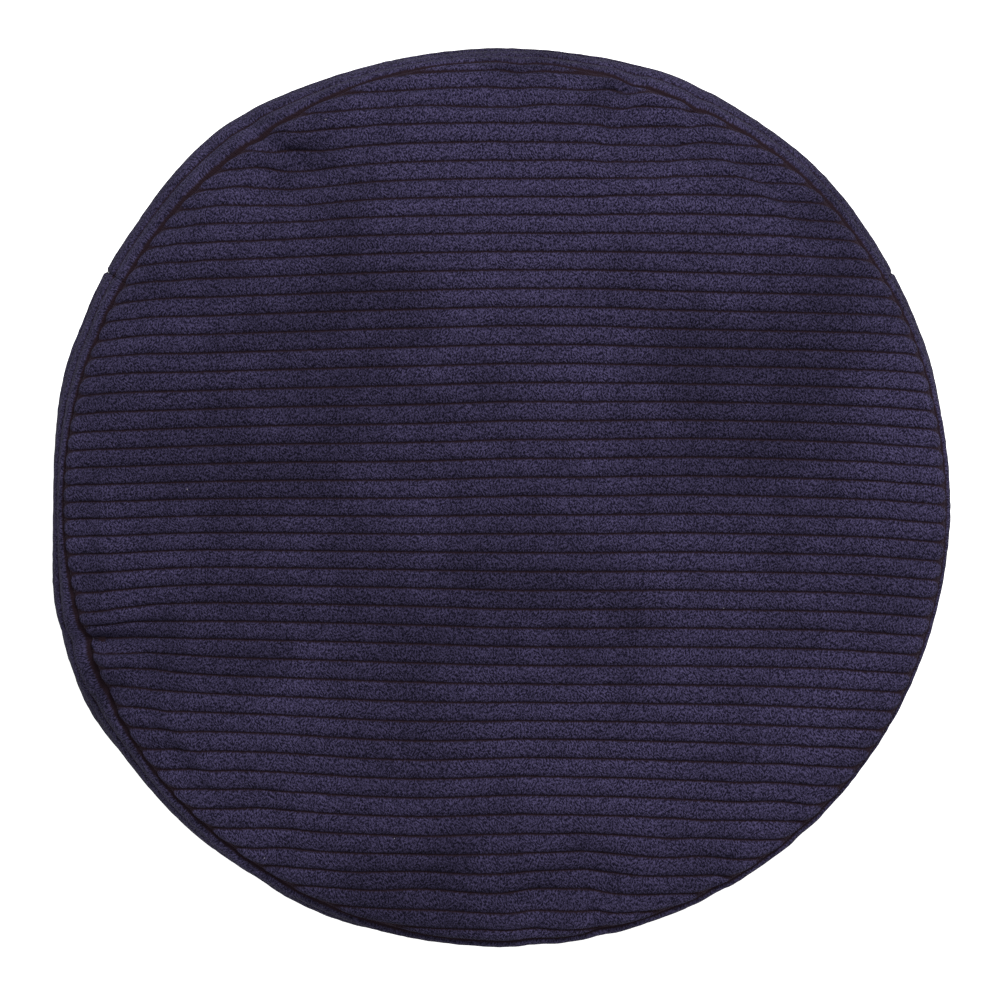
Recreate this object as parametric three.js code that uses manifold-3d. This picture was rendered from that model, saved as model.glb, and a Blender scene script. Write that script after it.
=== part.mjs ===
// Round boxed floor cushion: a corduroy cover with a zip in the rear of its side band, over a lined pad.
// Millimetres, +Z up. The origin is at the middle of the underside, on the floor. The zip is on the +Y side.
import * as THREE from "three";
import { mergeVertices } from "three/addons/utils/BufferGeometryUtils.js";
import Module from "manifold-3d";

const wasm = await Module();
wasm.setup();

// Driving dimensions: the cover.
const OVERALL_DIAMETER = 600;
const BAND_HEIGHT = 80; // from the bottom seam to the top seam
const BAND_BULGE = 8; // how far the middle of the band stands out past its seams
const TOP_CROWN = 18; // the top panel's rise above its seam
const BASE_RISE = 12; // the bottom seam's height above the floor
const BASE_ROLL = 30; // the width of the underside that curves up from the floor to its seam
const CLOTH = 3; // corduroy with its pile
const SEAM_ALLOWANCE = 10; // cloth turned in along each round seam
const SEAM_GROOVE = 2; // depth of the valley that a round seam pulls in
const SEAM_THREAD = 1.2;

// Driving dimensions: the zip.
const ZIP_START = 30; // degrees from +X to the zip section's first end
const ZIP_END = 150;
const FOLD_ROOM = 0.65; // from the slider's side to the folded edge of a zip strip
const TAB_LENGTH = 14;
const TAPE_THICKNESS = 0.8;
const TAPE_WIDTH = 15; // one tape, from its beaded edge to its outer edge
const TAPE_TAIL = 12; // how far a tape runs on behind the end of the zip section
const COIL_SLIT = 1.8; // between the two coils, where the slider's post runs
const COIL_WIDTH = 2.2;
const COIL_DEPTH = 2;
const STOP_LENGTH = 3;
const SLIDER_LENGTH = 11;
const SLIDER_TAIL_WIDTH = 6.8;
const SLIDER_PLATE = 0.9;
const SLIDER_FLANGE = 0.9;
const POST_LENGTH = 3;
const POST_WIDTH = 1;
const ARCH_LENGTH = 7;
const ARCH_WIDTH = 2;
const ARCH_BAR = 0.9;
const PULL_LENGTH = 28;
const PULL_WIDTH = 7;
const PULL_THICKNESS = 1.2;
const PULL_EYE_LENGTH = 5.5; // the window that the slider's arch stands in
const PULL_EYE_WIDTH = 3.4;
const PULL_HOLE = 2.6; // across the round hole at the pull's free end

// Driving dimensions: the inner pad.
const INSERT_EASE = 3.6; // room between the band's cloth and the pad
const TOP_EASE = 0.5; // room between a panel and the pad
const SEAM_EASE = 1; // room between the turned-in allowances and the pad's seams
const LINING = 0.8;
const SIDE_WADDING = 14; // round the foam, measured at the lining's seams
const FOAM_CHAMFER = 6;
const TOP_WADDING_EDGE = 8; // from the foam's top up to the top seam
const BASE_WADDING = 8;

// Clearances and fineness.
const GAP = 0.3; // between pieces that touch
const RUNNING = 0.35; // between the slider and what it runs past
const STEPS_ROUND = 60;
const ZIP_STEPS_ROUND = 120;

// Heights and radii that follow from them.
const SEAM_RADIUS = OVERALL_DIAMETER / 2 - BAND_BULGE;
const BOTTOM_SEAM = BASE_RISE;
const TOP_SEAM = BASE_RISE + BAND_HEIGHT;
const MIDDLE = (BOTTOM_SEAM + TOP_SEAM) / 2;
const HEM = 2 * CLOTH; // a panel or band is double where its allowance is turned in
const HEM_EDGE = SEAM_RADIUS - HEM - GAP;

// The zip's widths, from its middle out to the folded edges of the strips beside it.
const SLIDER_HALF_WIDTH = COIL_SLIT / 2 + COIL_WIDTH + RUNNING + SLIDER_FLANGE;
const ZIP_OPENING = 2 * (SLIDER_HALF_WIDTH + FOLD_ROOM);

// How far a ring's flat facets stand inside its true circle.
const facetSag = (radius, steps) => radius * (1 - Math.cos(Math.PI / steps));

// The zip's radii, from the band's cloth inwards and back out to the pull.
const BAND_INSIDE = OVERALL_DIAMETER / 2 - CLOTH;
const BAND_SAG = facetSag(BAND_INSIDE, STEPS_ROUND);
const TAPE_OUTSIDE = bandRadius(MIDDLE + ZIP_OPENING / 2) - CLOTH - BAND_SAG - GAP;
const TAPE_INSIDE = TAPE_OUTSIDE - TAPE_THICKNESS;
const COIL_INSIDE = TAPE_OUTSIDE + GAP;
const COIL_OUTSIDE = COIL_INSIDE + COIL_DEPTH;
const FRONT_PLATE = COIL_OUTSIDE + RUNNING;
const PLATE_FACE = FRONT_PLATE + SLIDER_PLATE;
const BACK_PLATE = TAPE_INSIDE - facetSag(TAPE_INSIDE, ZIP_STEPS_ROUND) - RUNNING;
const ARCH_ROOM = PULL_THICKNESS + 2 * GAP; // under the arch, for the pull's end bar

// Angles along the zip, in radians, from lengths measured on the coils.
const alongZip = (length) => length / COIL_OUTSIDE;
const FIRST_END = THREE.MathUtils.degToRad(ZIP_START);
const LAST_END = THREE.MathUtils.degToRad(ZIP_END);
const FIRST_STOP = FIRST_END + alongZip(TAB_LENGTH + GAP);
const LAST_STOP = LAST_END - alongZip(TAB_LENGTH + GAP);
const SLIDER_REST = FIRST_STOP + alongZip(STOP_LENGTH + RUNNING + SLIDER_LENGTH / 2);

// ---- Solids from three.js geometry, joined and cut with manifold-3d ----

// A closed geometry as a manifold-3d solid.
function solidOf(geometry) {
  geometry.deleteAttribute("normal");
  geometry.deleteAttribute("uv");
  const merged = mergeVertices(geometry, 1e-4);
  const corners = merged.index.array;
  const kept = [];
  for (let i = 0; i < corners.length; i += 3) {
    const [a, b, c] = corners.slice(i, i + 3);
    if (a !== b && b !== c && c !== a) kept.push(a, b, c);
  }
  return new wasm.Manifold(
    new wasm.Mesh({
      numProp: 3,
      vertProperties: merged.attributes.position.array,
      triVerts: new Uint32Array(kept),
    }),
  );
}

// A solid turned about +Z from its half section, a list of [radius, height] that runs anticlockwise.
function turned(section, steps = STEPS_ROUND) {
  const points = section.map(([radius, height]) => new THREE.Vector2(radius, height));
  const onAxis = section[0][0] === 0 && section.at(-1)[0] === 0;
  if (!onAxis) points.push(points[0].clone());
  return solidOf(new THREE.LatheGeometry(points, steps).rotateX(Math.PI / 2));
}

// A wedge of space about +Z between two angles less than half a turn apart, to cut rings with.
function wedge(from, to) {
  const reach = 2 * OVERALL_DIAMETER;
  const turn = (angle) => [reach * Math.cos(angle), reach * Math.sin(angle)];
  const outline = new THREE.Shape();
  outline.moveTo(0, 0);
  outline.lineTo(...turn(from));
  outline.lineTo(...turn((from + to) / 2));
  outline.lineTo(...turn(to));
  const tall = new THREE.ExtrudeGeometry(outline, { depth: 2 * reach, bevelEnabled: false });
  return solidOf(tall.translate(0, 0, -reach));
}

// An arc of a ring whose section is a rectangle.
function arcBar(inside, outside, low, high, from, to) {
  const section = [
    [inside, low],
    [outside, low],
    [outside, high],
    [inside, high],
  ];
  return turned(section, ZIP_STEPS_ROUND).intersect(wedge(from, to));
}

// A box between two corners, with X outwards from the cushion, Y along the zip and Z up.
function block([x0, y0, z0], [x1, y1, z1]) {
  const box = new THREE.BoxGeometry(x1 - x0, y1 - y0, z1 - z0);
  return solidOf(box.translate((x0 + x1) / 2, (y0 + y1) / 2, (z0 + z1) / 2));
}

// An outline in Y (along the zip) and Z, given depth outwards from a radius.
function plateFrom(outline, radius, depth) {
  const plate = new THREE.ExtrudeGeometry(outline, {
    depth,
    bevelEnabled: false,
    curveSegments: 6,
  });
  plate.rotateY(Math.PI / 2).rotateX(Math.PI / 2);
  return solidOf(plate.translate(radius, 0, 0));
}

function geometryOf(solid) {
  const made = solid.getMesh();
  const geometry = new THREE.BufferGeometry();
  geometry.setAttribute("position", new THREE.BufferAttribute(made.vertProperties, 3));
  geometry.setIndex(new THREE.BufferAttribute(made.triVerts, 1));
  geometry.computeVertexNormals();
  return geometry;
}

// ---- The cover's curves ----

// The height of the top panel's outside at a radius: a shallow crown with a rounded shoulder.
function crownHeight(radius) {
  const share = Math.min(radius / SEAM_RADIUS, 1);
  return TOP_SEAM + TOP_CROWN * (1 - share ** 3) ** 0.6;
}

// The height of the underside at a radius: flat on the floor, then rolling up to its seam.
function baseHeight(radius) {
  const flat = SEAM_RADIUS - BASE_ROLL;
  const share = Math.min(Math.max((radius - flat) / BASE_ROLL, 0), 1);
  return BASE_RISE * (1 - (1 - share ** 2) ** 0.6);
}

// The radius of the band's outside at a height.
function bandRadius(height) {
  const share = Math.abs(height - MIDDLE) / (BAND_HEIGHT / 2);
  return SEAM_RADIUS + BAND_BULGE * (1 - Math.min(share, 1) ** 2.2);
}

const spread = (from, to, count) =>
  Array.from({ length: count + 1 }, (_, i) => from + ((to - from) * i) / count);

// Half section of a panel that is seen from outside as the curve heightAt, with its allowance turned in.
// side is 1 for the top panel and -1 for the bottom one. radii are where the curve is followed.
function panelSection(heightAt, seam, side, radii) {
  const inwards = (radius, depth) => [radius, heightAt(radius) - side * depth];
  const turnedEdge = HEM_EDGE - SEAM_ALLOWANCE;
  const single = [0, ...radii.filter((radius) => radius < turnedEdge), turnedEdge];
  const outside = [0, ...radii].map((radius) => inwards(radius, 0));
  const inside = single.map((radius) => inwards(radius, CLOTH));
  const rim = [
    [SEAM_RADIUS, seam + side * (GAP / 2 + SEAM_GROOVE)],
    [SEAM_RADIUS - SEAM_GROOVE, seam + (side * GAP) / 2],
    [HEM_EDGE, seam + (side * GAP) / 2],
  ];
  const hem = [inwards(HEM_EDGE, HEM), inwards(turnedEdge, HEM)];
  const round = [...outside, ...rim, ...hem, ...inside.reverse()];
  return side > 0 ? round.reverse() : round;
}

// Half section of the band between two heights, double where it is turned in at a round seam.
function bandSection(low, high) {
  const levels = spread(low, high, high - low > BAND_HEIGHT / 2 ? 8 : 4);
  const lowHem = BOTTOM_SEAM + SEAM_ALLOWANCE;
  const highHem = TOP_SEAM - SEAM_ALLOWANCE;
  const atBottomSeam = low < lowHem;
  const atTopSeam = high > highHem;
  const outside = levels.slice(1, -1).map((level) => [bandRadius(level), level]);
  const section = [];
  if (atBottomSeam) {
    section.push([SEAM_RADIUS - SEAM_GROOVE, low], [bandRadius(low + SEAM_GROOVE), low + SEAM_GROOVE]);
  } else section.push([bandRadius(low), low]);
  section.push(...outside);
  if (atTopSeam) {
    section.push([bandRadius(high - SEAM_GROOVE), high - SEAM_GROOVE], [SEAM_RADIUS - SEAM_GROOVE, high]);
    section.push([SEAM_RADIUS - HEM, high], [bandRadius(highHem) - HEM, highHem]);
    section.push([bandRadius(highHem) - CLOTH, highHem]);
  } else section.push([bandRadius(high), high], [bandRadius(high) - CLOTH, high]);
  const between = levels.filter((level) => level > lowHem && level < highHem && level > low && level < high);
  section.push(...between.reverse().map((level) => [bandRadius(level) - CLOTH, level]));
  if (atBottomSeam) {
    section.push([bandRadius(lowHem) - CLOTH, lowHem], [bandRadius(lowHem) - HEM, lowHem]);
    section.push([SEAM_RADIUS - HEM, low]);
  } else section.push([bandRadius(low) - CLOTH, low]);
  return section;
}

function seamThread(height) {
  const half = SEAM_THREAD / 2;
  const centre = SEAM_RADIUS - SEAM_GROOVE / 2 + GAP / 2;
  return turned([
    [centre - half, height],
    [centre, height - half],
    [centre + half, height],
    [centre, height + half],
  ]);
}

// ---- The zip ----

// One tape: upright behind the coil, then leaning in with the band. side is 1 above the zip and -1 below.
function tapeBar(side, from, to) {
  const near = COIL_SLIT / 2;
  const fold = ZIP_OPENING / 2;
  const far = near + TAPE_WIDTH;
  const lean = bandRadius(MIDDLE + far) - CLOTH - BAND_SAG - 2 * GAP;
  const section = [
    [TAPE_INSIDE, near],
    [TAPE_OUTSIDE, near],
    [TAPE_OUTSIDE, fold],
    [lean, far],
    [lean - TAPE_THICKNESS, far],
    [TAPE_INSIDE, fold],
  ].map(([radius, height]) => [radius, MIDDLE + side * height]);
  return turned(side > 0 ? section : section.reverse(), ZIP_STEPS_ROUND).intersect(wedge(from, to));
}

// A coil or stop on one side of the zip's middle: side is 1 above it and -1 below it.
function zipBar(inside, outside, near, width, side, from, to) {
  const edges = [MIDDLE + side * near, MIDDLE + side * (near + width)].sort((a, b) => a - b);
  return arcBar(inside, outside, edges[0], edges[1], from, to);
}

// The outline of a slider plate, wide at the mouth and narrow at the tail.
function sliderOutline() {
  const mouth = -SLIDER_LENGTH / 2;
  const tail = SLIDER_LENGTH / 2;
  const narrow = SLIDER_TAIL_WIDTH / 2;
  const corner = 1.6;
  const outline = new THREE.Shape();
  outline.moveTo(mouth + corner, -SLIDER_HALF_WIDTH);
  outline.lineTo(0, -SLIDER_HALF_WIDTH);
  outline.lineTo(tail - corner, -narrow);
  outline.quadraticCurveTo(tail, -narrow, tail, -narrow + corner);
  outline.lineTo(tail, narrow - corner);
  outline.quadraticCurveTo(tail, narrow, tail - corner, narrow);
  outline.lineTo(0, SLIDER_HALF_WIDTH);
  outline.lineTo(mouth + corner, SLIDER_HALF_WIDTH);
  outline.quadraticCurveTo(mouth, SLIDER_HALF_WIDTH, mouth, SLIDER_HALF_WIDTH - corner);
  outline.lineTo(mouth, -SLIDER_HALF_WIDTH + corner);
  outline.quadraticCurveTo(mouth, -SLIDER_HALF_WIDTH, mouth + corner, -SLIDER_HALF_WIDTH);
  return outline;
}

// Two plates joined by a post, with flanges that hold the coils and an arch for the pull.
function sliderSolid() {
  const mouth = -SLIDER_LENGTH / 2;
  const flangeTip = TAPE_OUTSIDE + RUNNING;
  const bite = SLIDER_PLATE / 2; // how far joined pieces run into a plate
  let slider = plateFrom(sliderOutline(), FRONT_PLATE, SLIDER_PLATE);
  slider = slider.add(plateFrom(sliderOutline(), BACK_PLATE - SLIDER_PLATE, SLIDER_PLATE));
  slider = slider.add(
    block(
      [BACK_PLATE - bite, mouth + GAP, -POST_WIDTH / 2],
      [FRONT_PLATE + bite, mouth + GAP + POST_LENGTH, POST_WIDTH / 2],
    ),
  );
  for (const side of [-1, 1]) {
    const edges = [side * (SLIDER_HALF_WIDTH - SLIDER_FLANGE), side * SLIDER_HALF_WIDTH].sort((a, b) => a - b);
    slider = slider.add(
      block([flangeTip, mouth + SLIDER_FLANGE * 2, edges[0]], [FRONT_PLATE + bite, 0, edges[1]]),
    );
  }
  const archTop = PLATE_FACE + ARCH_ROOM + ARCH_BAR;
  const arch = block(
    [PLATE_FACE - bite, -ARCH_LENGTH / 2, -ARCH_WIDTH / 2],
    [archTop, ARCH_LENGTH / 2, ARCH_WIDTH / 2],
  );
  const room = block(
    [PLATE_FACE, -ARCH_LENGTH / 2 + ARCH_BAR, -ARCH_WIDTH],
    [archTop - ARCH_BAR, ARCH_LENGTH / 2 - ARCH_BAR, ARCH_WIDTH],
  );
  return slider.add(arch.subtract(room));
}

// The pull: a flat tab whose end bar lies under the slider's arch, with a window for the arch.
function pullSolid() {
  const half = PULL_WIDTH / 2;
  const bar = PULL_THICKNESS / 2;
  const tip = PULL_LENGTH - half;
  const outline = new THREE.Shape();
  outline.moveTo(-bar, -half);
  outline.lineTo(tip, -half);
  outline.absarc(tip, 0, half, -Math.PI / 2, Math.PI / 2, false);
  outline.lineTo(-bar, half);
  const eye = new THREE.Path();
  eye.moveTo(bar, -PULL_EYE_WIDTH / 2);
  eye.lineTo(bar, PULL_EYE_WIDTH / 2);
  eye.lineTo(bar + PULL_EYE_LENGTH, PULL_EYE_WIDTH / 2);
  eye.lineTo(bar + PULL_EYE_LENGTH, -PULL_EYE_WIDTH / 2);
  const hole = new THREE.Path();
  hole.absarc(tip, 0, PULL_HOLE / 2, 0, 2 * Math.PI, true);
  outline.holes.push(eye, hole);
  return plateFrom(outline, PLATE_FACE + GAP, PULL_THICKNESS);
}

// ---- The inner pad ----

const LINING_SEAM_RADIUS = SEAM_RADIUS - HEM - SEAM_EASE;
const LINING_TOP_SEAM = TOP_SEAM - HEM;
const LINING_BOTTOM_SEAM = BOTTOM_SEAM + HEM;
const LINING_TOP = TOP_SEAM + TOP_CROWN - CLOTH - TOP_EASE;
const LINING_BASE = CLOTH + TOP_EASE;
const LINING_BULGE = BAND_INSIDE - INSERT_EASE - LINING_SEAM_RADIUS;
const PAD_ROLL = BASE_ROLL + SEAM_ALLOWANCE;

// The pad's curves, as the cover's but closer in; depth is measured inwards from the lining's outside.
function padTop(radius, depth) {
  const share = Math.min(radius / LINING_SEAM_RADIUS, 1);
  return LINING_TOP_SEAM + (LINING_TOP - LINING_TOP_SEAM) * (1 - share ** 3) ** 0.6 - depth;
}

function padBase(radius, depth) {
  const share = Math.min(Math.max((radius - LINING_SEAM_RADIUS + PAD_ROLL) / PAD_ROLL, 0), 1);
  return LINING_BASE + (LINING_BOTTOM_SEAM - LINING_BASE) * (1 - (1 - share ** 2) ** 0.6) + depth;
}

function padSide(height, depth) {
  const half = (LINING_TOP_SEAM - LINING_BOTTOM_SEAM) / 2;
  const share = Math.min(Math.abs(height - MIDDLE) / half, 1);
  return LINING_SEAM_RADIUS + LINING_BULGE * (1 - share ** 2.2) - depth;
}

const FOAM_RADIUS = LINING_SEAM_RADIUS - SIDE_WADDING;
const FOAM_TOP = TOP_SEAM - TOP_WADDING_EDGE;

// Where the pad's layers follow its curves: all of them turn at the same radii, so that they nest.
const CROWN_RADII = [0.5 * LINING_SEAM_RADIUS, 0.8 * LINING_SEAM_RADIUS, FOAM_RADIUS];
const ROLL_RADII = [LINING_SEAM_RADIUS - PAD_ROLL, FOAM_RADIUS];
const FOAM_BASE = padBase(0, LINING + GAP) + BASE_WADDING + GAP;
const WADDING_DEPTH = LINING + GAP;

// A disc between two curves, upper and lower, followed at the same radii.
function disc(upper, lower, radii) {
  const followed = [0, ...radii];
  const over = followed.map((radius) => [radius, upper(radius)]);
  const under = followed.map((radius) => [radius, lower(radius)]);
  return turned([...under, ...over.reverse()]);
}

function liningTop() {
  const radii = [...CROWN_RADII, LINING_SEAM_RADIUS];
  return disc((radius) => padTop(radius, 0), (radius) => padTop(radius, LINING), radii);
}

function liningBottom() {
  const radii = [...ROLL_RADII, LINING_SEAM_RADIUS];
  return disc((radius) => padBase(radius, LINING), (radius) => padBase(radius, 0), radii);
}

function liningBand() {
  const levels = spread(LINING_BOTTOM_SEAM + LINING + GAP, LINING_TOP_SEAM - LINING - GAP, 4);
  const outside = levels.map((level) => [padSide(level, 0), level]);
  const inside = levels.map((level) => [padSide(level, LINING), level]);
  return turned([...outside, ...inside.reverse()]);
}

function waddingTop() {
  return disc((radius) => padTop(radius, WADDING_DEPTH), () => FOAM_TOP + GAP, CROWN_RADII);
}

function waddingBottom() {
  return disc(() => FOAM_BASE - GAP, (radius) => padBase(radius, WADDING_DEPTH), ROLL_RADII);
}

function waddingSide() {
  const inside = FOAM_RADIUS + GAP;
  const low = LINING_BOTTOM_SEAM + LINING + WADDING_DEPTH;
  const high = LINING_TOP_SEAM - LINING - WADDING_DEPTH;
  const side = spread(low, high, 4).map((level) => [padSide(level, WADDING_DEPTH), level]);
  return turned([
    [inside, padBase(inside, WADDING_DEPTH + GAP)],
    ...side,
    [inside, padTop(inside, WADDING_DEPTH + GAP)],
  ]);
}

function foamCore() {
  return turned([
    [0, FOAM_BASE],
    [FOAM_RADIUS - FOAM_CHAMFER, FOAM_BASE],
    [FOAM_RADIUS, FOAM_BASE + FOAM_CHAMFER],
    [FOAM_RADIUS, FOAM_TOP - FOAM_CHAMFER],
    [FOAM_RADIUS - FOAM_CHAMFER, FOAM_TOP],
    [0, FOAM_TOP],
  ]);
}

// ---- Finishes and assembly ----

const FINISHES = {
  corduroy: { color: 0x2b273b, roughness: 0.95, metalness: 0 },
  lining: { color: 0xe6dfd0, roughness: 0.9, metalness: 0 },
  wadding: { color: 0xf4f3ef, roughness: 1, metalness: 0 },
  foam: { color: 0xf0e6b8, roughness: 0.95, metalness: 0 },
  thread: { color: 0x1d1a2b, roughness: 0.7, metalness: 0 },
  tape: { color: 0x1f1c2e, roughness: 0.9, metalness: 0 },
  coil: { color: 0x17151f, roughness: 0.5, metalness: 0 },
  zipMetal: { color: 0x8a8a8e, roughness: 0.35, metalness: 1 },
};

const cushion = new THREE.Group();
cushion.name = "floor_cushion";

function addPiece(name, finish, solid, parent = cushion) {
  const mesh = new THREE.Mesh(geometryOf(solid), new THREE.MeshStandardMaterial(FINISHES[finish]));
  mesh.name = name;
  parent.add(mesh);
}

function addCover() {
  const butt = alongZip(GAP / 2);
  const zipWedge = wedge(FIRST_END + butt, LAST_END - butt);
  const frontCut = wedge(FIRST_END - butt, LAST_END + butt);
  const low = BOTTOM_SEAM + GAP / 2;
  const high = TOP_SEAM - GAP / 2;
  const half = ZIP_OPENING / 2;
  const crownRadii = [0.45, 0.75, 0.9, 0.97].map((share) => share * SEAM_RADIUS);
  const rollRadii = [0, 0.5, 0.8].map((share) => SEAM_RADIUS - (1 - share) * BASE_ROLL);
  addPiece("top_panel", "corduroy", turned(panelSection(crownHeight, TOP_SEAM, 1, crownRadii)));
  addPiece("bottom_panel", "corduroy", turned(panelSection(baseHeight, BOTTOM_SEAM, -1, rollRadii)));
  addPiece("front_band", "corduroy", turned(bandSection(low, high)).subtract(frontCut));
  addPiece("zip_band_upper", "corduroy", turned(bandSection(MIDDLE + half, high)).intersect(zipWedge));
  addPiece("zip_band_lower", "corduroy", turned(bandSection(low, MIDDLE - half)).intersect(zipWedge));
  addPiece("top_seam_thread", "thread", seamThread(TOP_SEAM));
  addPiece("bottom_seam_thread", "thread", seamThread(BOTTOM_SEAM));
}

function addZip() {
  const butt = alongZip(GAP);
  const tail = alongZip(TAPE_TAIL);
  const tab = alongZip(TAB_LENGTH);
  const stop = alongZip(STOP_LENGTH);
  const tabHalf = ZIP_OPENING / 2 - GAP;
  const outside = OVERALL_DIAMETER / 2;
  const tabAt = (from, to) => arcBar(BAND_INSIDE, outside, MIDDLE - tabHalf, MIDDLE + tabHalf, from, to);
  addPiece("zip_tab_right", "corduroy", tabAt(FIRST_END + butt / 2, FIRST_END + tab));
  addPiece("zip_tab_left", "corduroy", tabAt(LAST_END - tab, LAST_END - butt / 2));
  for (const [place, side] of [
    ["upper", 1],
    ["lower", -1],
  ]) {
    const near = COIL_SLIT / 2;
    const coil = [COIL_INSIDE, COIL_OUTSIDE, near, COIL_WIDTH, side];
    addPiece(`zip_tape_${place}`, "tape", tapeBar(side, FIRST_END - tail, LAST_END + tail));
    addPiece(`zip_coil_${place}`, "coil", zipBar(...coil, FIRST_STOP + stop + butt, LAST_STOP - stop - butt));
    addPiece(`zip_top_stop_${place}`, "zipMetal", zipBar(...coil, FIRST_STOP, FIRST_STOP + stop));
  }
  const stopHalf = COIL_SLIT / 2 + COIL_WIDTH;
  const bottomStop = [COIL_INSIDE, COIL_OUTSIDE, MIDDLE - stopHalf, MIDDLE + stopHalf];
  addPiece("zip_bottom_stop", "zipMetal", arcBar(...bottomStop, LAST_STOP - stop, LAST_STOP));
  const slider = new THREE.Group();
  slider.position.z = MIDDLE;
  slider.rotation.z = SLIDER_REST;
  addPiece("zip_slider", "zipMetal", sliderSolid(), slider);
  addPiece("zip_pull", "zipMetal", pullSolid(), slider);
  cushion.add(slider);
}

function addPad() {
  addPiece("lining_top", "lining", liningTop());
  addPiece("lining_band", "lining", liningBand());
  addPiece("lining_bottom", "lining", liningBottom());
  addPiece("wadding_top", "wadding", waddingTop());
  addPiece("wadding_side", "wadding", waddingSide());
  addPiece("wadding_bottom", "wadding", waddingBottom());
  addPiece("foam_core", "foam", foamCore());
}

addCover();
addZip();
addPad();

export default cushion;
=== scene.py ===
"""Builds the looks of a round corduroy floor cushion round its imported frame.

Metres, +Z up. The cushion rests on the floor with the middle of its underside at the origin, and its zip is
in the rear of the side band, on the +Y side. The cover is cloth that is filled by a short simulation, and
every cover piece is then cut from the filled form with its own wales and pile.
"""

import logging
import math
from dataclasses import dataclass
from enum import Enum
from typing import Callable, Optional, Sequence

import bpy
import numpy as np
from mathutils import Matrix, Vector


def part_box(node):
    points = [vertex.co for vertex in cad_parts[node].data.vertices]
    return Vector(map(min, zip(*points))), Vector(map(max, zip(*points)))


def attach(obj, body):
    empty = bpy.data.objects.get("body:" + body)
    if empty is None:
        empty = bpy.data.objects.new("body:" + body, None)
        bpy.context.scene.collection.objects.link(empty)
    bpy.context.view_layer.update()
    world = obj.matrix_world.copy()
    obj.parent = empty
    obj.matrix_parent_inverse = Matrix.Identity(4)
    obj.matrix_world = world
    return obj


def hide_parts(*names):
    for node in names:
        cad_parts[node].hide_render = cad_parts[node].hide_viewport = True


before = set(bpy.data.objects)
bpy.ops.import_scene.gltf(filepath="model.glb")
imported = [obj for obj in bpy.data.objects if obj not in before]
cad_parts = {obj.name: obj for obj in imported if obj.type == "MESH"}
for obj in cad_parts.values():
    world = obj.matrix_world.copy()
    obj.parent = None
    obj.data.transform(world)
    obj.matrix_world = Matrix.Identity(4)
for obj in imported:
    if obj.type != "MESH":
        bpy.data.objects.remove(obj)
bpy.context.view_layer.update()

LOG = logging.getLogger("cushion")
MM = 0.001


# ---- Sizes ----------------------------------------------------------------------------------------------


@dataclass(frozen=True)
class CushionSizes:
    """Sizes of the cushion, read from the frame's own pieces.

    Attributes:
        radius: Out to the middle of the side band.
        seam_radius: Out to both round seams.
        top: Height of the crown of the top panel.
        top_seam: Height of the top round seam.
        bottom_seam: Height of the bottom round seam.
        middle: Height of the zip.
        fold: Half the opening between the zip strips' folded edges.
        zip_start: Angle of the zip section's first end, in radians from +X.
        zip_end: Angle of its other end.
        tape: Outside radius of the zip tapes.
        tape_edge: Distance of a tape's outer edge from the zip's middle; not used.
    """

    radius: float
    seam_radius: float
    top: float
    top_seam: float
    bottom_seam: float
    middle: float
    fold: float
    zip_start: float
    zip_end: float
    tape: float
    tape_edge: float

    @classmethod
    def from_frame(cls) -> "CushionSizes":
        """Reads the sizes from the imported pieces.

        Returns:
            The cushion's sizes.
        """
        top_low, top_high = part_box("top_panel")
        top_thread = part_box("top_seam_thread")
        bottom_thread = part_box("bottom_seam_thread")
        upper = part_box("zip_band_upper")
        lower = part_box("zip_band_lower")
        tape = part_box("zip_tape_upper")
        middle = (upper[0].z + lower[1].z) / 2
        zip_start = math.acos(upper[1].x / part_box("front_band")[1].x)
        return cls(
            radius=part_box("front_band")[1].x,
            seam_radius=top_high.x,
            top=top_high.z,
            top_seam=(top_thread[0].z + top_thread[1].z) / 2,
            bottom_seam=(bottom_thread[0].z + bottom_thread[1].z) / 2,
            middle=middle,
            fold=upper[0].z - middle,
            zip_start=zip_start,
            zip_end=math.pi - zip_start,
            tape=tape[1].y,
            tape_edge=tape[1].z - middle,
        )


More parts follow.
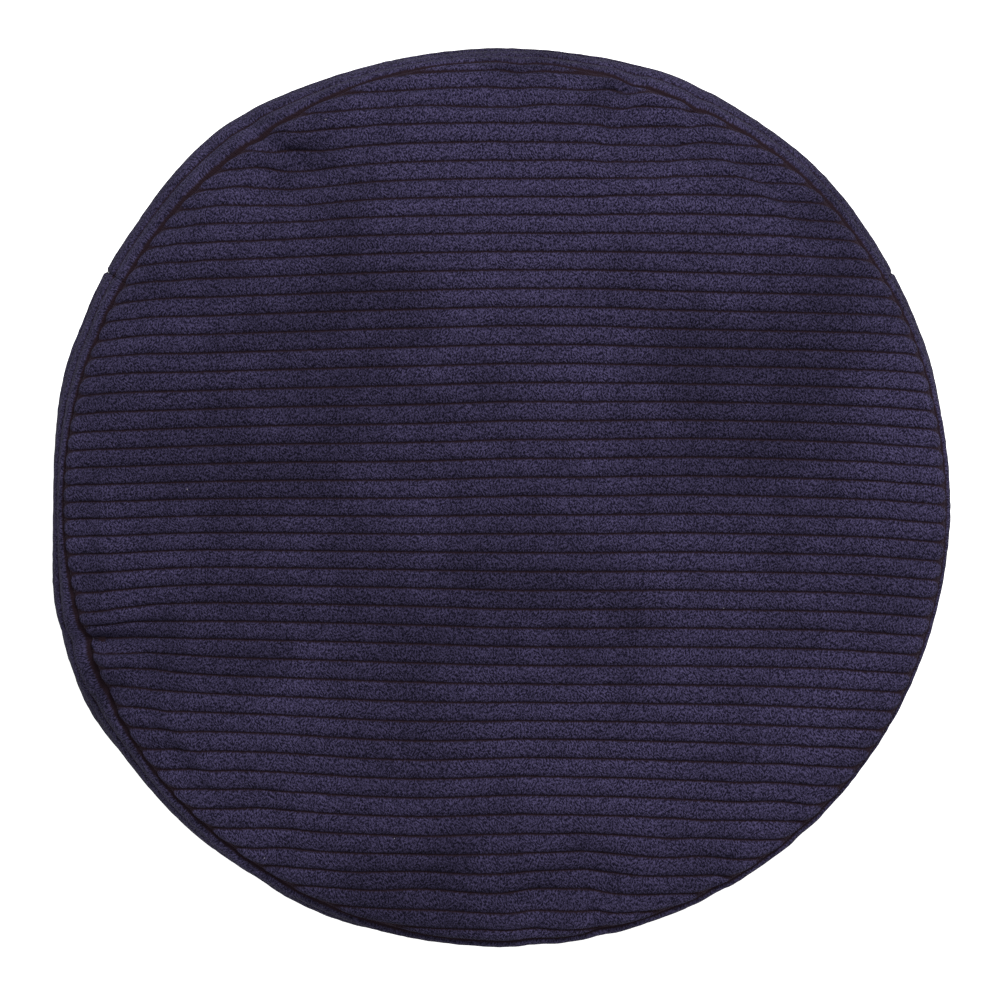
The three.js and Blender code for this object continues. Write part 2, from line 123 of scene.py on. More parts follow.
@dataclass(frozen=True)
class Corduroy:
    """The cover cloth: how its wales repeat and how its pile stands.

    Attributes:
        pitch: Width of one wale with its ground line.
        relief: Height of the pile over the ground.
        ground: Half the width of the bare ground between two wales.
        end_roll: Length over which a wale's end rolls down into a seam.
        cloth: Thickness of the cloth from its back to the top of its pile.
        steps: Rows of points across one wale.
        side_power: How squarely a wale's sides fall.
        end_power: How squarely its ends fall.
        seam_power: How little of the ground shows beside a seam.
        roundness: How full a wale's outline is.
    """

    pitch: float = 12.35 * MM
    relief: float = 2.5 * MM
    ground: float = 0.2 * MM
    end_roll: float = 9.0 * MM
    cloth: float = 3.0 * MM
    steps: int = 10
    side_power: float = 2.3
    end_power: float = 1.6
    seam_power: float = 2.0
    roundness: float = 0.56

    def rows(self, low: float, high: float, first_line: float) -> np.ndarray:
        """Places rows across the wales, closest together beside the ground lines.

        Args:
            low: Where the rows start across the cloth.
            high: Where they end.
            first_line: Place of one ground line.

        Returns:
            Places across the cloth, rising.
        """
        first = math.floor((low - first_line) / self.pitch)
        last = math.ceil((high - first_line) / self.pitch)
        within = 0.5 + 0.5 * np.sin(np.linspace(-0.5, 0.5, self.steps + 1)[:-1] * math.pi)
        lines = first_line + self.pitch * np.arange(first, last + 1)
        across = (lines[:, None] + self.pitch * within[None, :]).ravel()
        near = self.ground / 2
        inside = across[(across > low + near) & (across < high - near)]
        return np.concatenate([[low], inside, [high]])

    def pile(self, across: np.ndarray, end: np.ndarray, first_line: float) -> np.ndarray:
        """Works out how high the pile stands, from 0 on the ground to 1 on a wale's crest.

        Args:
            across: Places across the wales.
            end: Distances to the nearest seam or folded edge.
            first_line: Place of one ground line.

        Returns:
            The pile's height as a share of its relief.
        """
        tip = np.clip(1 - end / self.end_roll, 0, 1)
        return self.swell(across, first_line, tip**self.end_power)

    def covered(self, across: np.ndarray, end: np.ndarray, first_line: float) -> np.ndarray:
        """Works out how well the pile covers the ground, which shows only in the lines and the seams."""
        tip = np.clip(1 - end / self.end_roll, 0, 1)
        return self.swell(across, first_line, tip**self.seam_power)

    def swell(self, across: np.ndarray, first_line: float, tip: np.ndarray) -> np.ndarray:
        """Gives the rounded outline of a wale, less what its end takes away."""
        phase = np.mod((across - first_line) / self.pitch, 1.0) - 0.5
        side = np.minimum(1.0, np.abs(2 * phase) * self.pitch / (self.pitch - 2 * self.ground))
        return (1 - np.minimum(1.0, side**self.side_power + tip)) ** self.roundness


class SmoothNoise:
    """A smooth random field over a plane, from -1 to 1, the same in every run."""

    SIZE = 64

    def __init__(self, seed: int, cell: float) -> None:
        """Draws the field's lattice.

        Args:
            seed: Which field this is.
            cell: Distance between lattice points.
        """
        self.lattice = np.random.default_rng(seed).uniform(-1, 1, (self.SIZE, self.SIZE))
        self.cell = cell

    def at(self, x: np.ndarray, y: np.ndarray) -> np.ndarray:
        """Reads the field.

        Args:
            x: Places along the plane's first axis.
            y: Places along its second axis.

        Returns:
            The field there.
        """
        column, row = np.floor(x / self.cell), np.floor(y / self.cell)
        right, up = x / self.cell - column, y / self.cell - row
        right = right**3 * (right * (6 * right - 15) + 10)
        up = up**3 * (up * (6 * up - 15) + 10)
        i, j = column.astype(int) % self.SIZE, row.astype(int) % self.SIZE
        i_next, j_next = (i + 1) % self.SIZE, (j + 1) % self.SIZE
        low = self.lattice[i, j] * (1 - right) + self.lattice[i_next, j] * right
        high = self.lattice[i, j_next] * (1 - right) + self.lattice[i_next, j_next] * right
        return low * (1 - up) + high * up


def ease(value: np.ndarray) -> np.ndarray:
    """Turns 0 to 1 into a smooth step, flat outside."""
    held = np.clip(value, 0, 1)
    return held * held * (3 - 2 * held)


def around(azimuth: np.ndarray, centre: float) -> np.ndarray:
    """Gives the signed angle from a centre, in -pi to pi."""
    return np.mod(azimuth - centre + math.pi, 2 * math.pi) - math.pi


# ---- The filled form ------------------------------------------------------------------------------------


@dataclass(frozen=True)
class Gather:
    """A pucker where the cloth is caught in the top seam.

    Attributes:
        azimuth: Where on the seam, in degrees from +X.
        length: How far it runs in over the panel.
        width: Half width of its valley.
        depth: How deep the valley is at the seam.
        pinch: How far it draws the cloth beside it together.
        slant: How much it leans along the seam for each length that it runs in.
    """

    azimuth: float
    length: float
    width: float
    depth: float
    pinch: float
    slant: float = 0.0

    def across(self, azimuth: np.ndarray, inset: np.ndarray, radius: float) -> np.ndarray:
        """Gives the distance along the seam from the pucker's middle line."""
        arc = around(azimuth, math.radians(self.azimuth)) * (radius - inset)
        return arc - self.slant * inset

    def sink(self, azimuth: np.ndarray, inset: np.ndarray, radius: float) -> np.ndarray:
        """Gives how far the cloth sinks, and stands up beside the valley where it is negative."""
        across = self.across(azimuth, inset, radius)
        valley = np.exp(-((across / self.width) ** 2))
        shoulder = np.exp(-(((np.abs(across) - 2.1 * self.width) / (1.1 * self.width)) ** 2))
        return self.depth * (valley - 0.38 * shoulder) * np.exp(-((inset / self.length) ** 2))

    def draw(self, azimuth: np.ndarray, inset: np.ndarray, radius: float) -> np.ndarray:
        """Gives how far the cloth is drawn along the seam, towards the middle line."""
        across = self.across(azimuth, inset, radius)
        reach = np.exp(-((across / (5 * self.width)) ** 2) - (inset / (1.6 * self.length)) ** 2)
        return -self.pinch * np.tanh(across / (2.6 * self.width)) * reach


@dataclass(frozen=True)
class Swell:
    """A stretch of the side band that stands out, or in where it is negative.

    Attributes:
        azimuth: Its middle, in degrees from +X.
        spread: Its half width in degrees.
        amount: How far it stands out.
    """

    azimuth: float
    spread: float
    amount: float


@dataclass(frozen=True)
class Drift:
    """How a panel's wales run off the straight, because its edge is drawn in on the left.

    Attributes:
        left: How far the wales close up at the left edge, above and below their middle.
        right: How far they fall at the right edge.
        middle: Height of the wale they close on, as a share of the panel's radius.
        spread: Half the height over which they close up, as such a share.
    """

    left: float
    right: float
    middle: float = -0.06
    spread: float = 0.2

    def fall(self, x: np.ndarray, y: np.ndarray) -> np.ndarray:
        """Gives how far the wales lie below the straight, at shares of the panel's radius."""
        closing = self.left * np.tanh((y - self.middle) / self.spread) - self.left / 7
        return closing * np.clip(-x, 0, 1) + self.right * np.clip(x, 0, 1) ** 2


GATHERS = (
    Gather(198.0, 34 * MM, 9.5 * MM, 7.5 * MM, 10.0 * MM, 0.3),
    Gather(207.0, 22 * MM, 6 * MM, 3.0 * MM, 2.5 * MM, -0.2),
    Gather(124.0, 34 * MM, 7 * MM, 4.0 * MM, 2.5 * MM, -0.5),
    Gather(88.0, 24 * MM, 9 * MM, 3.0 * MM, 2.0 * MM, 0.6),
    Gather(73.0, 24 * MM, 8 * MM, 5.5 * MM, 3.5 * MM, 0.5),
    Gather(64.0, 18 * MM, 6 * MM, 4.0 * MM, 2.5 * MM, -0.3),
    Gather(274.0, 34 * MM, 10 * MM, 3.0 * MM, 1.5 * MM, 0.3),
    Gather(283.0, 26 * MM, 7 * MM, 2.6 * MM, 1.5 * MM, -0.2),
    Gather(299.0, 26 * MM, 7 * MM, 2.8 * MM, 1.8 * MM, 0.5),
    Gather(312.0, 22 * MM, 6 * MM, 2.2 * MM, 1.5 * MM, 0.4),
    Gather(238.0, 20 * MM, 8 * MM, 1.8 * MM, 1.2 * MM, 0.2),
    Gather(158.0, 20 * MM, 8 * MM, 1.8 * MM, 1.2 * MM, -0.3),
)
SWELLS = (
    Swell(128, 14, 10.5 * MM),
    Swell(201, 11, 14.0 * MM),
    Swell(226, 22, 4.0 * MM),
    Swell(52, 15, 4.6 * MM),
    Swell(93, 13, -3.4 * MM),
    Swell(179, 10, -3.0 * MM),
    Swell(265, 22, -1.0 * MM),
    Swell(334, 24, -4.0 * MM),
    Swell(8, 18, -3.0 * MM),
    Swell(69, 10, 2.6 * MM),
    Swell(194, 7, 2.2 * MM),
    Swell(151, 6, 2.0 * MM),
)


class PolarField:
    """Vectors on rings and spokes, read smoothly between them."""

    def __init__(self, values: np.ndarray, centred: bool) -> None:
        """Keeps the field.

        Args:
            values: Vectors by ring, spoke and axis.
            centred: Whether the first ring is the middle of a disc.
        """
        spokes = values.shape[1]
        first = np.roll(values[1], spokes // 2, axis=0) if centred else 2 * values[0] - values[1]
        last = 2 * values[-1] - values[-2]
        self.values = np.concatenate([first[None], values, last[None]])
        self.rings = values.shape[0]
        self.spokes = spokes

    def at(self, share: np.ndarray, azimuth: np.ndarray) -> np.ndarray:
        """Reads the field.

        Args:
            share: How far along the rings, 0 to 1.
            azimuth: Angle in radians.

        Returns:
            One vector for each place.
        """
        along = np.clip(share, 0, 1) * (self.rings - 1)
        ring = np.clip(np.floor(along).astype(int), 0, self.rings - 2)
        turn = np.mod(azimuth / (2 * math.pi), 1.0) * self.spokes
        spoke = np.floor(turn).astype(int)
        ring_weights = self.weights(along - ring)
        spoke_weights = self.weights(turn - spoke)
        total = np.zeros(along.shape + (3,))
        for i, ring_weight in enumerate(ring_weights):
            for j, spoke_weight in enumerate(spoke_weights):
                value = self.values[ring + i, (spoke + j - 1) % self.spokes]
                total += (ring_weight * spoke_weight)[..., None] * value
        return total

    @staticmethod
    def weights(t: np.ndarray) -> list[np.ndarray]:
        """Gives the four weights of a smooth curve through its points."""
        return [
            0.5 * (-t + 2 * t**2 - t**3),
            0.5 * (2 - 5 * t**2 + 3 * t**3),
            0.5 * (t + 4 * t**2 - 3 * t**3),
            0.5 * (-(t**2) + t**3),
        ]


class CoverForm:
    """The smooth outside of the filled cover, under its pile."""

    SPOKES = 180
    RINGS = 28
    LEVELS = 10
    FRAMES = 20
    LARGEST_MOVE = 9 * MM
    SMOOTHING = 5
    ROLL = 30 * MM
    SEAM_SHIFT = np.array([3.2 * MM, -2.6 * MM, 0.0])
    SEAM_TILT = 2.2 * MM
    GATHER_DRAW = 0.3
    GATHER_ROLL = 8 * MM
    WANDER = np.array([1.2, 2.0, 1.5]) * MM
    LUMP = 1.1 * MM
    SEAM_TURN = 4.5 * MM
    GROOVE = 1.6 * MM
    GROOVE_WIDTH = 2.2 * MM
    TOP_LEAN = math.radians(40)
    BASE_LEAN = math.radians(-50)

    def __init__(self, sizes: CushionSizes) -> None:
        """Works out the cover's curves.

        Args:
            sizes: The cushion's sizes.
        """
        self.sizes = sizes
        self.bulge = sizes.radius - sizes.seam_radius
        self.top_curve = self.curve(self.crown, sizes.seam_radius)
        self.base_curve = self.curve(self.underside, sizes.seam_radius)
        heights = np.linspace(sizes.top_seam, sizes.bottom_seam, 400)
        radii = self.band_radius(heights)
        self.band_curve = (self.lengths(radii, heights), radii, heights)
        self.top_reach = self.top_curve[0][-1]
        self.base_reach = self.base_curve[0][-1]
        self.band_width = self.band_curve[0][-1]
        self.widths = {"top": self.top_reach, "band": self.band_width, "base": self.base_reach}
        self.waver = [SmoothNoise(seed, 105 * MM) for seed in (11, 12, 13)]
        self.lumps = SmoothNoise(14, 62 * MM)
        self.moves: dict[str, PolarField] = {}

    @staticmethod
    def lengths(radii: np.ndarray, heights: np.ndarray) -> np.ndarray:
        """Gives the length along a curve at each of its points."""
        steps = np.hypot(np.diff(radii), np.diff(heights))
        return np.concatenate([[0.0], np.cumsum(steps)])

    def curve(self, height_at: Callable, reach: float) -> tuple:
        """Follows a panel from its middle to its seam.

        Args:
            height_at: Height of the panel at a radius.
            reach: Radius of the seam.

        Returns:
            Lengths along the cloth, with the radius and height at each.
        """
        radii = reach * (1 - (1 - np.linspace(0, 1, 1500)) ** 3)
        heights = height_at(radii)
        return self.lengths(radii, heights), radii, heights

    def crown(self, radius: np.ndarray) -> np.ndarray:
        """Gives the height of the top panel at a radius."""
        share = np.minimum(radius / self.sizes.seam_radius, 1)
        return self.sizes.top_seam + (self.sizes.top - self.sizes.top_seam) * (1 - share**3) ** 0.6

    def underside(self, radius: np.ndarray) -> np.ndarray:
        """Gives the height of the bottom panel at a radius."""
        share = np.clip((radius - self.sizes.seam_radius + self.ROLL) / self.ROLL, 0, 1)
        return self.sizes.bottom_seam * (1 - (1 - share**2) ** 0.6)

    def band_radius(self, height: np.ndarray) -> np.ndarray:
        """Gives the radius of the side band at a height."""
        half = (self.sizes.top_seam - self.sizes.bottom_seam) / 2
        share = np.minimum(np.abs(height - self.sizes.middle) / half, 1)
        return self.sizes.seam_radius + self.bulge * (1 - share**2.2)

    def plain(self, part: str, share: np.ndarray, azimuth: np.ndarray) -> np.ndarray:
        """Gives the cover before it is filled.

        Args:
            part: "top", "band" or "base".
            share: From the panel's middle, or from the band's top seam, to its end.
            azimuth: Angle in radians.

        Returns:
            The places.
        """
        lengths, radii, heights = {
            "top": self.top_curve,
            "band": self.band_curve,
            "base": self.base_curve,
        }[part]
        along = share * lengths[-1]
        radius = np.interp(along, lengths, radii)
        height = np.interp(along, lengths, heights)
        return np.stack([radius * np.cos(azimuth), radius * np.sin(azimuth), height], -1)

    def held_by_zip(self, place: np.ndarray) -> np.ndarray:
        """Gives 1 where the zip keeps the band to its true circle, fading to 0 away from it."""
        azimuth = np.arctan2(place[..., 1], place[..., 0])
        fade = math.radians(9)
        middle = (self.sizes.zip_start + self.sizes.zip_end) / 2
        half = (self.sizes.zip_end - self.sizes.zip_start) / 2
        beside = ease((half + 1.6 * fade - np.abs(around(azimuth, middle))) / fade)
        off = np.abs(place[..., 2] - self.sizes.middle)
        return beside * ease((17 * MM - off) / (10 * MM))

    # -- The filling --

    def settle(self) -> None:
        """Fills the cover: cloth under pressure, with its round seams drawn in."""
        azimuth = np.arange(self.SPOKES) * 2 * math.pi / self.SPOKES
        rows = [("top", ring / self.RINGS) for ring in range(1, self.RINGS + 1)]
        rows += [("band", level / self.LEVELS) for level in range(1, self.LEVELS)]
        rows += [("base", ring / self.RINGS) for ring in range(self.RINGS, 0, -1)]
        rings = [self.plain(part, np.full(self.SPOKES, share), azimuth) for part, share in rows]
        middles = [self.plain(part, np.zeros(1), np.zeros(1)) for part in ("top", "base")]
        rest = np.concatenate([*rings, *middles])
        filled = self.inflate(rest, rows)
        moves = self.unevenness(filled - rest, azimuth, len(rows))
        size = np.linalg.norm(moves, axis=1, keepdims=True)
        moves = moves * np.minimum(1, self.LARGEST_MOVE / np.maximum(size, 1e-9))
        by_ring = moves[: len(rows) * self.SPOKES].reshape(len(rows), self.SPOKES, 3)
        top_middle, base_middle = (np.tile(move, (1, self.SPOKES, 1)) for move in moves[-2:, None, :])
        seam = self.RINGS + self.LEVELS - 1
        self.moves = {
            "top": PolarField(np.concatenate([top_middle, by_ring[: self.RINGS]]), True),
            "band": PolarField(by_ring[self.RINGS - 1 : seam + 1], False),
            "base": PolarField(np.concatenate([base_middle, by_ring[seam:][::-1]]), True),
        }
        LOG.info("cover filled, largest move %.1f mm", 1000 * float(size.max()))

    def unevenness(self, moves: np.ndarray, azimuth: np.ndarray, rings: int) -> np.ndarray:
        """Takes each ring's even growth out of its moves, so that the cover keeps its measured size.

        Args:
            moves: Moves ring by ring, then of the two middles.
            azimuth: Angle of each spoke.
            rings: How many rings there are.

        Returns:
            The moves that differ from spoke to spoke.
        """
        outwards = np.stack([np.cos(azimuth), np.sin(azimuth), 0 * azimuth], -1)
        by_ring = moves[: rings * self.SPOKES].reshape(rings, self.SPOKES, 3)
        growth = (by_ring * outwards).sum(-1).mean(1)[:, None, None]
        rise = by_ring[..., 2].mean(1)[:, None]
        uneven = by_ring - growth * outwards
        uneven[..., 2] -= rise
        for _ in range(self.SMOOTHING):
            uneven = uneven / 2 + (np.roll(uneven, 1, axis=1) + np.roll(uneven, -1, axis=1)) / 4
        return np.concatenate([uneven.reshape(-1, 3), np.zeros((2, 3))])

    def inflate(self, rest: np.ndarray, rows: Sequence[tuple[str, float]]) -> np.ndarray:
        """Runs the cloth simulation on the closed cover.

        Args:
            rest: Places before filling, ring by ring, then the two middles.
            rows: Part and share of each ring.

        Returns:
            Places after filling.
        """
        count = self.SPOKES
        faces = []
        for ring in range(len(rows) - 1):
            for spoke in range(count):
                after = (spoke + 1) % count
                low, high = ring * count, (ring + 1) * count
                faces.append((low + spoke, high + spoke, high + after, low + after))
        last = (len(rows) - 1) * count
        top_middle, base_middle = len(rest) - 2, len(rest) - 1
        for spoke in range(count):
            after = (spoke + 1) % count
            faces.append((top_middle, spoke, after))
            faces.append((base_middle, last + after, last + spoke))
        mesh = bpy.data.meshes.new("cover_form")
        mesh.from_pydata(rest.tolist(), [], faces)
        cover = bpy.data.objects.new("cover_form", mesh)
        bpy.context.scene.collection.objects.link(cover)
        self.weigh(cover, rest, rows)
        self.cloth(cover)
        for step in range(1, self.FRAMES + 1):
            bpy.context.scene.frame_set(step)
        evaluated = cover.evaluated_get(bpy.context.evaluated_depsgraph_get())
        flat = np.zeros(len(rest) * 3)
        evaluated.data.vertices.foreach_get("co", flat)
        bpy.data.objects.remove(cover)
        bpy.data.meshes.remove(mesh)
        bpy.context.scene.frame_set(1)
        return flat.reshape(-1, 3)

    def weigh(self, cover: bpy.types.Object, rest: np.ndarray, rows: Sequence[tuple[str, float]]) -> None:
        """Says where the cover is held and where its seams draw it in.

        Args:
            cover: The closed cover.
            rest: Its places before filling.
            rows: Part and share of each ring.
        """
        held = cover.vertex_groups.new(name="held")
        drawn = cover.vertex_groups.new(name="drawn")
        azimuth = np.arange(self.SPOKES) * 2 * math.pi / self.SPOKES
        draw = 0.35 + 0.25 * np.sin(5 * azimuth + 1.0) * np.sin(8 * azimuth)
        for gather in GATHERS:
            off = around(azimuth, math.radians(gather.azimuth)) / math.radians(5)
            draw += 0.12 * gather.depth / MM * np.exp(-(off**2))
        zip_hold = self.held_by_zip(rest)
        seams = (self.RINGS - 1, self.RINGS + self.LEVELS - 1)
        for ring, (part, share) in enumerate(rows):
            away = min(abs(ring - seam) for seam in seams)
            near_seam = max(0.0, 1 - away / 3)
            for spoke in range(self.SPOKES):
                index = ring * self.SPOKES + spoke
                on_floor = part == "base" and rest[index, 2] < 1 * MM
                hold = 1.0 if on_floor else max(0.1 + 0.22 * near_seam, float(zip_hold[index]))
                held.add([index], hold, "REPLACE")
                if near_seam > 0:
                    drawn.add([index], float(np.clip(draw[spoke] * near_seam, 0, 1)), "REPLACE")
        held.add([len(rest) - 2], 0.1, "REPLACE")
        held.add([len(rest) - 1], 1.0, "REPLACE")

    def cloth(self, cover: bpy.types.Object) -> None:
        """Gives the cover its cloth settings.

        Args:
            cover: The closed cover.
        """
        fill = cover.modifiers.new("fill", "CLOTH")
        settings = fill.settings
        settings.quality = 6
        settings.mass = 0.3
        settings.tension_stiffness = 24
        settings.compression_stiffness = 10
        settings.shear_stiffness = 8
        settings.bending_stiffness = 0.9
        settings.use_pressure = True
        settings.uniform_pressure_force = 3.5
        settings.vertex_group_mass = "held"
        settings.vertex_group_shrink = "drawn"
        settings.shrink_min = 0.0
        settings.shrink_max = 0.09
        settings.effector_weights.gravity = 0
        fill.collision_settings.use_collision = False
        fill.point_cache.frame_start = 1
        fill.point_cache.frame_end = self.FRAMES

    # -- The filled cover --

    def place(self, part: str, share: np.ndarray, azimuth: np.ndarray) -> np.ndarray:
        """Gives places on the filled cover.

        Args:
            part: "top", "band" or "base".
            share: From the panel's middle, or from the band's top seam, to its end.
            azimuth: Angle in radians.

        Returns:
            The places.
        """
        place = self.plain(part, share, azimuth)
        move = self.moves[part].at(share, azimuth)
        if part == "top":
            move = move + self.panel_moves(share, azimuth)
        if part == "band":
            move = move + self.band_moves(share, azimuth)
        if part == "base":
            on_floor = ease((share * self.base_reach - self.base_reach + self.ROLL) / (0.4 * self.ROLL))
            move = move * on_floor[..., None]
        place = place + move * (1 - self.held_by_zip(place))[..., None]
        place[..., 2] = np.maximum(place[..., 2], 0)
        return place

    def seam_moves(self, azimuth: np.ndarray) -> np.ndarray:
        """Gives how the top seam lies off its circle: shifted, tilted and drawn in at the gathers."""
        outwards = np.stack([np.cos(azimuth), np.sin(azimuth), 0 * azimuth], -1)
        move = np.tile(self.SEAM_SHIFT, azimuth.shape + (1,))
        inset = np.zeros_like(azimuth)
        for gather in GATHERS:
            sink = gather.sink(azimuth, inset, self.sizes.seam_radius)
            move = move - self.GATHER_DRAW * sink[..., None] * outwards
        move[..., 2] -= self.SEAM_TILT * np.sin(azimuth)
        return move

    def gather_moves(self, azimuth: np.ndarray, inset: np.ndarray) -> np.ndarray:
        """Gives how the gathers sink the cloth and draw it along the seam.

        Args:
            azimuth: Angle in radians.
            inset: Distances in from the top seam.

        Returns:
            One move for each place.
        """
        sideways = np.stack([-np.sin(azimuth), np.cos(azimuth)], -1)
        move = np.zeros(azimuth.shape + (3,))
        for gather in GATHERS:
            sink = gather.sink(azimuth, inset, self.top_reach)
            draw = gather.draw(azimuth, inset, self.top_reach)
            move[..., 2] -= sink * np.clip(inset / self.GATHER_ROLL, 0.25, 1)
            move[..., :2] += draw[..., None] * sideways
        return move

    def panel_moves(self, share: np.ndarray, azimuth: np.ndarray) -> np.ndarray:
        """Gives the top panel's own unevenness: its seam, its puckers and its lumps."""
        reach = share * self.top_reach
        x, y = reach * np.cos(azimuth), reach * np.sin(azimuth)
        move = self.seam_moves(azimuth) * (share**5)[..., None]
        inner = 1 - ease((share - 0.82) / 0.18)
        wander = np.stack([noise.at(x + 0.7, y + 0.4) for noise in self.waver], -1)
        move = move + wander * self.WANDER * inner[..., None]
        move[..., 2] += self.LUMP * self.lumps.at(x + 1.0, y + 1.0) * inner
        return move + self.gather_moves(azimuth, self.top_reach - reach)

    def band_moves(self, share: np.ndarray, azimuth: np.ndarray) -> np.ndarray:
        """Gives the side band's own unevenness: its top seam and where it stands in or out."""
        outwards = np.stack([np.cos(azimuth), np.sin(azimuth), 0 * azimuth], -1)
        seam = self.seam_moves(azimuth) + self.gather_moves(azimuth, np.zeros_like(azimuth))
        swell = 0.3 * self.LUMP * self.lumps.at(azimuth * self.sizes.radius + 3.0, share * self.band_width)
        for part in SWELLS:
            off = around(azimuth, math.radians(part.azimuth)) / math.radians(part.spread)
            swell = swell + part.amount * np.exp(-(off**2))
        stands = swell * np.sin(math.pi * np.clip(share, 0, 1)) ** 0.8
        return seam * (np.clip(1 - share, 0, 1) ** 3)[..., None] + stands[..., None] * outwards

    def normal(self, part: str, share: np.ndarray, azimuth: np.ndarray) -> np.ndarray:
        """Gives the outward normal of the filled cover.

        Args:
            part: "top", "band" or "base".
            share: From the panel's middle, or from the band's top seam, to its end.
            azimuth: Angle in radians.

        Returns:
            Unit vectors.
        """
        step = 1.5 * MM
        whole = self.widths[part]
        least = 0.0 if part == "band" else 2 * step / whole
        near = np.maximum(share - step / whole, least)
        far = np.minimum(np.maximum(share, least) + step / whole, 1)
        turn = step / np.maximum(self.sizes.radius if part == "band" else share * whole, 2 * step)
        middle = np.clip(share, least, 1)
        along = self.place(part, far, azimuth) - self.place(part, near, azimuth)
        sideways = self.place(part, middle, azimuth + turn) - self.place(part, middle, azimuth - turn)
        normal = np.cross(along, sideways)
        if part == "base":
            normal = -normal
        return normal / np.maximum(np.linalg.norm(normal, axis=-1, keepdims=True), 1e-12)

    def layer(self, part: str, share: np.ndarray, azimuth: np.ndarray, depth: np.ndarray) -> np.ndarray:
        """Gives places at a depth inside the filled cover."""
        inwards = self.normal(part, share, azimuth) * np.asarray(depth)[..., None]
        return self.place(part, share, azimuth) - inwards

    def to_seam(self, part: str, share: np.ndarray) -> np.ndarray:
        """Gives how far places are from the nearest round seam."""
        nearest = np.minimum(share, 1 - share) if part == "band" else 1 - share
        return np.clip(nearest, 0, 1) * self.widths[part]

    def sewn(self, part: str, share: np.ndarray, azimuth: np.ndarray, depth: np.ndarray) -> np.ndarray:
        """Gives places under the surface, where the cloth leans into its round seams.

        Args:
            part: "top", "band" or "base".
            share: From the panel's middle, or from the band's top seam, to its end.
            azimuth: Angle in radians.
            depth: How deep each place lies.

        Returns:
            The places.
        """
        distance = self.to_seam(part, share)
        lean = np.exp(-((distance / self.SEAM_TURN) ** 2))[..., None]
        above = np.full_like(share, part != "base") if part != "band" else share < 0.5
        rise = np.where(above, self.TOP_LEAN, self.BASE_LEAN)
        level = np.cos(rise)
        seam = np.stack([level * np.cos(azimuth), level * np.sin(azimuth), np.sin(rise)], -1)
        towards = self.normal(part, share, azimuth) * (1 - lean) + seam * lean
        towards = towards / np.maximum(np.linalg.norm(towards, axis=-1, keepdims=True), 1e-12)
        sunk = depth + self.GROOVE * np.exp(-distance / self.GROOVE_WIDTH)
        return self.place(part, share, azimuth) - towards * sunk[..., None]

    def down(self, height: float) -> float:
        """Gives the length down the band, from its top seam, at a height."""
        lengths, _, heights = self.band_curve
        return float(np.interp(-height, -heights, lengths))


# ---- Meshes ---------------------------------------------------------------------------------------------


class Body(Enum):
    """The bodies that pieces ride on."""

    CUSHION = "cushion"
    SLIDER = "slider"
    PULL = "pull"


class Slot(Enum):
    """The record's material slots."""

    CORDUROY = "corduroy"
    LINING = "lining"
    WADDING = "wadding"
    FOAM = "foam"
    THREAD = "thread"
    TAPE = "zip_tape"
    COIL = "zip_coil"
    METAL = "zip_metal"


@dataclass
class Dressed:
    """What a finished piece wears and stands for.

    Attributes:
        material: Its finish.
        slot: The record's slot for that finish; not used.
        nodes: The frame's pieces that it replaces.
        body: The body that it rides on.
    """

    material: bpy.types.Material
    slot: Slot
    nodes: Sequence[str] = ()
    body: Body = Body.CUSHION

    def put_on(self, piece: bpy.types.Object) -> None:
        """Gives a piece its finish, its body and its place in the frame.

        Args:
            piece: The finished piece, at the origin.
        """
        piece.data.materials.clear()
        piece.data.materials.append(self.material)
        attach(piece, self.body.value)
        if self.nodes:
            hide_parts(*self.nodes)
        piece.data.calc_loop_triangles()
        LOG.info("%s: %d triangles", piece.name, len(piece.data.loop_triangles))


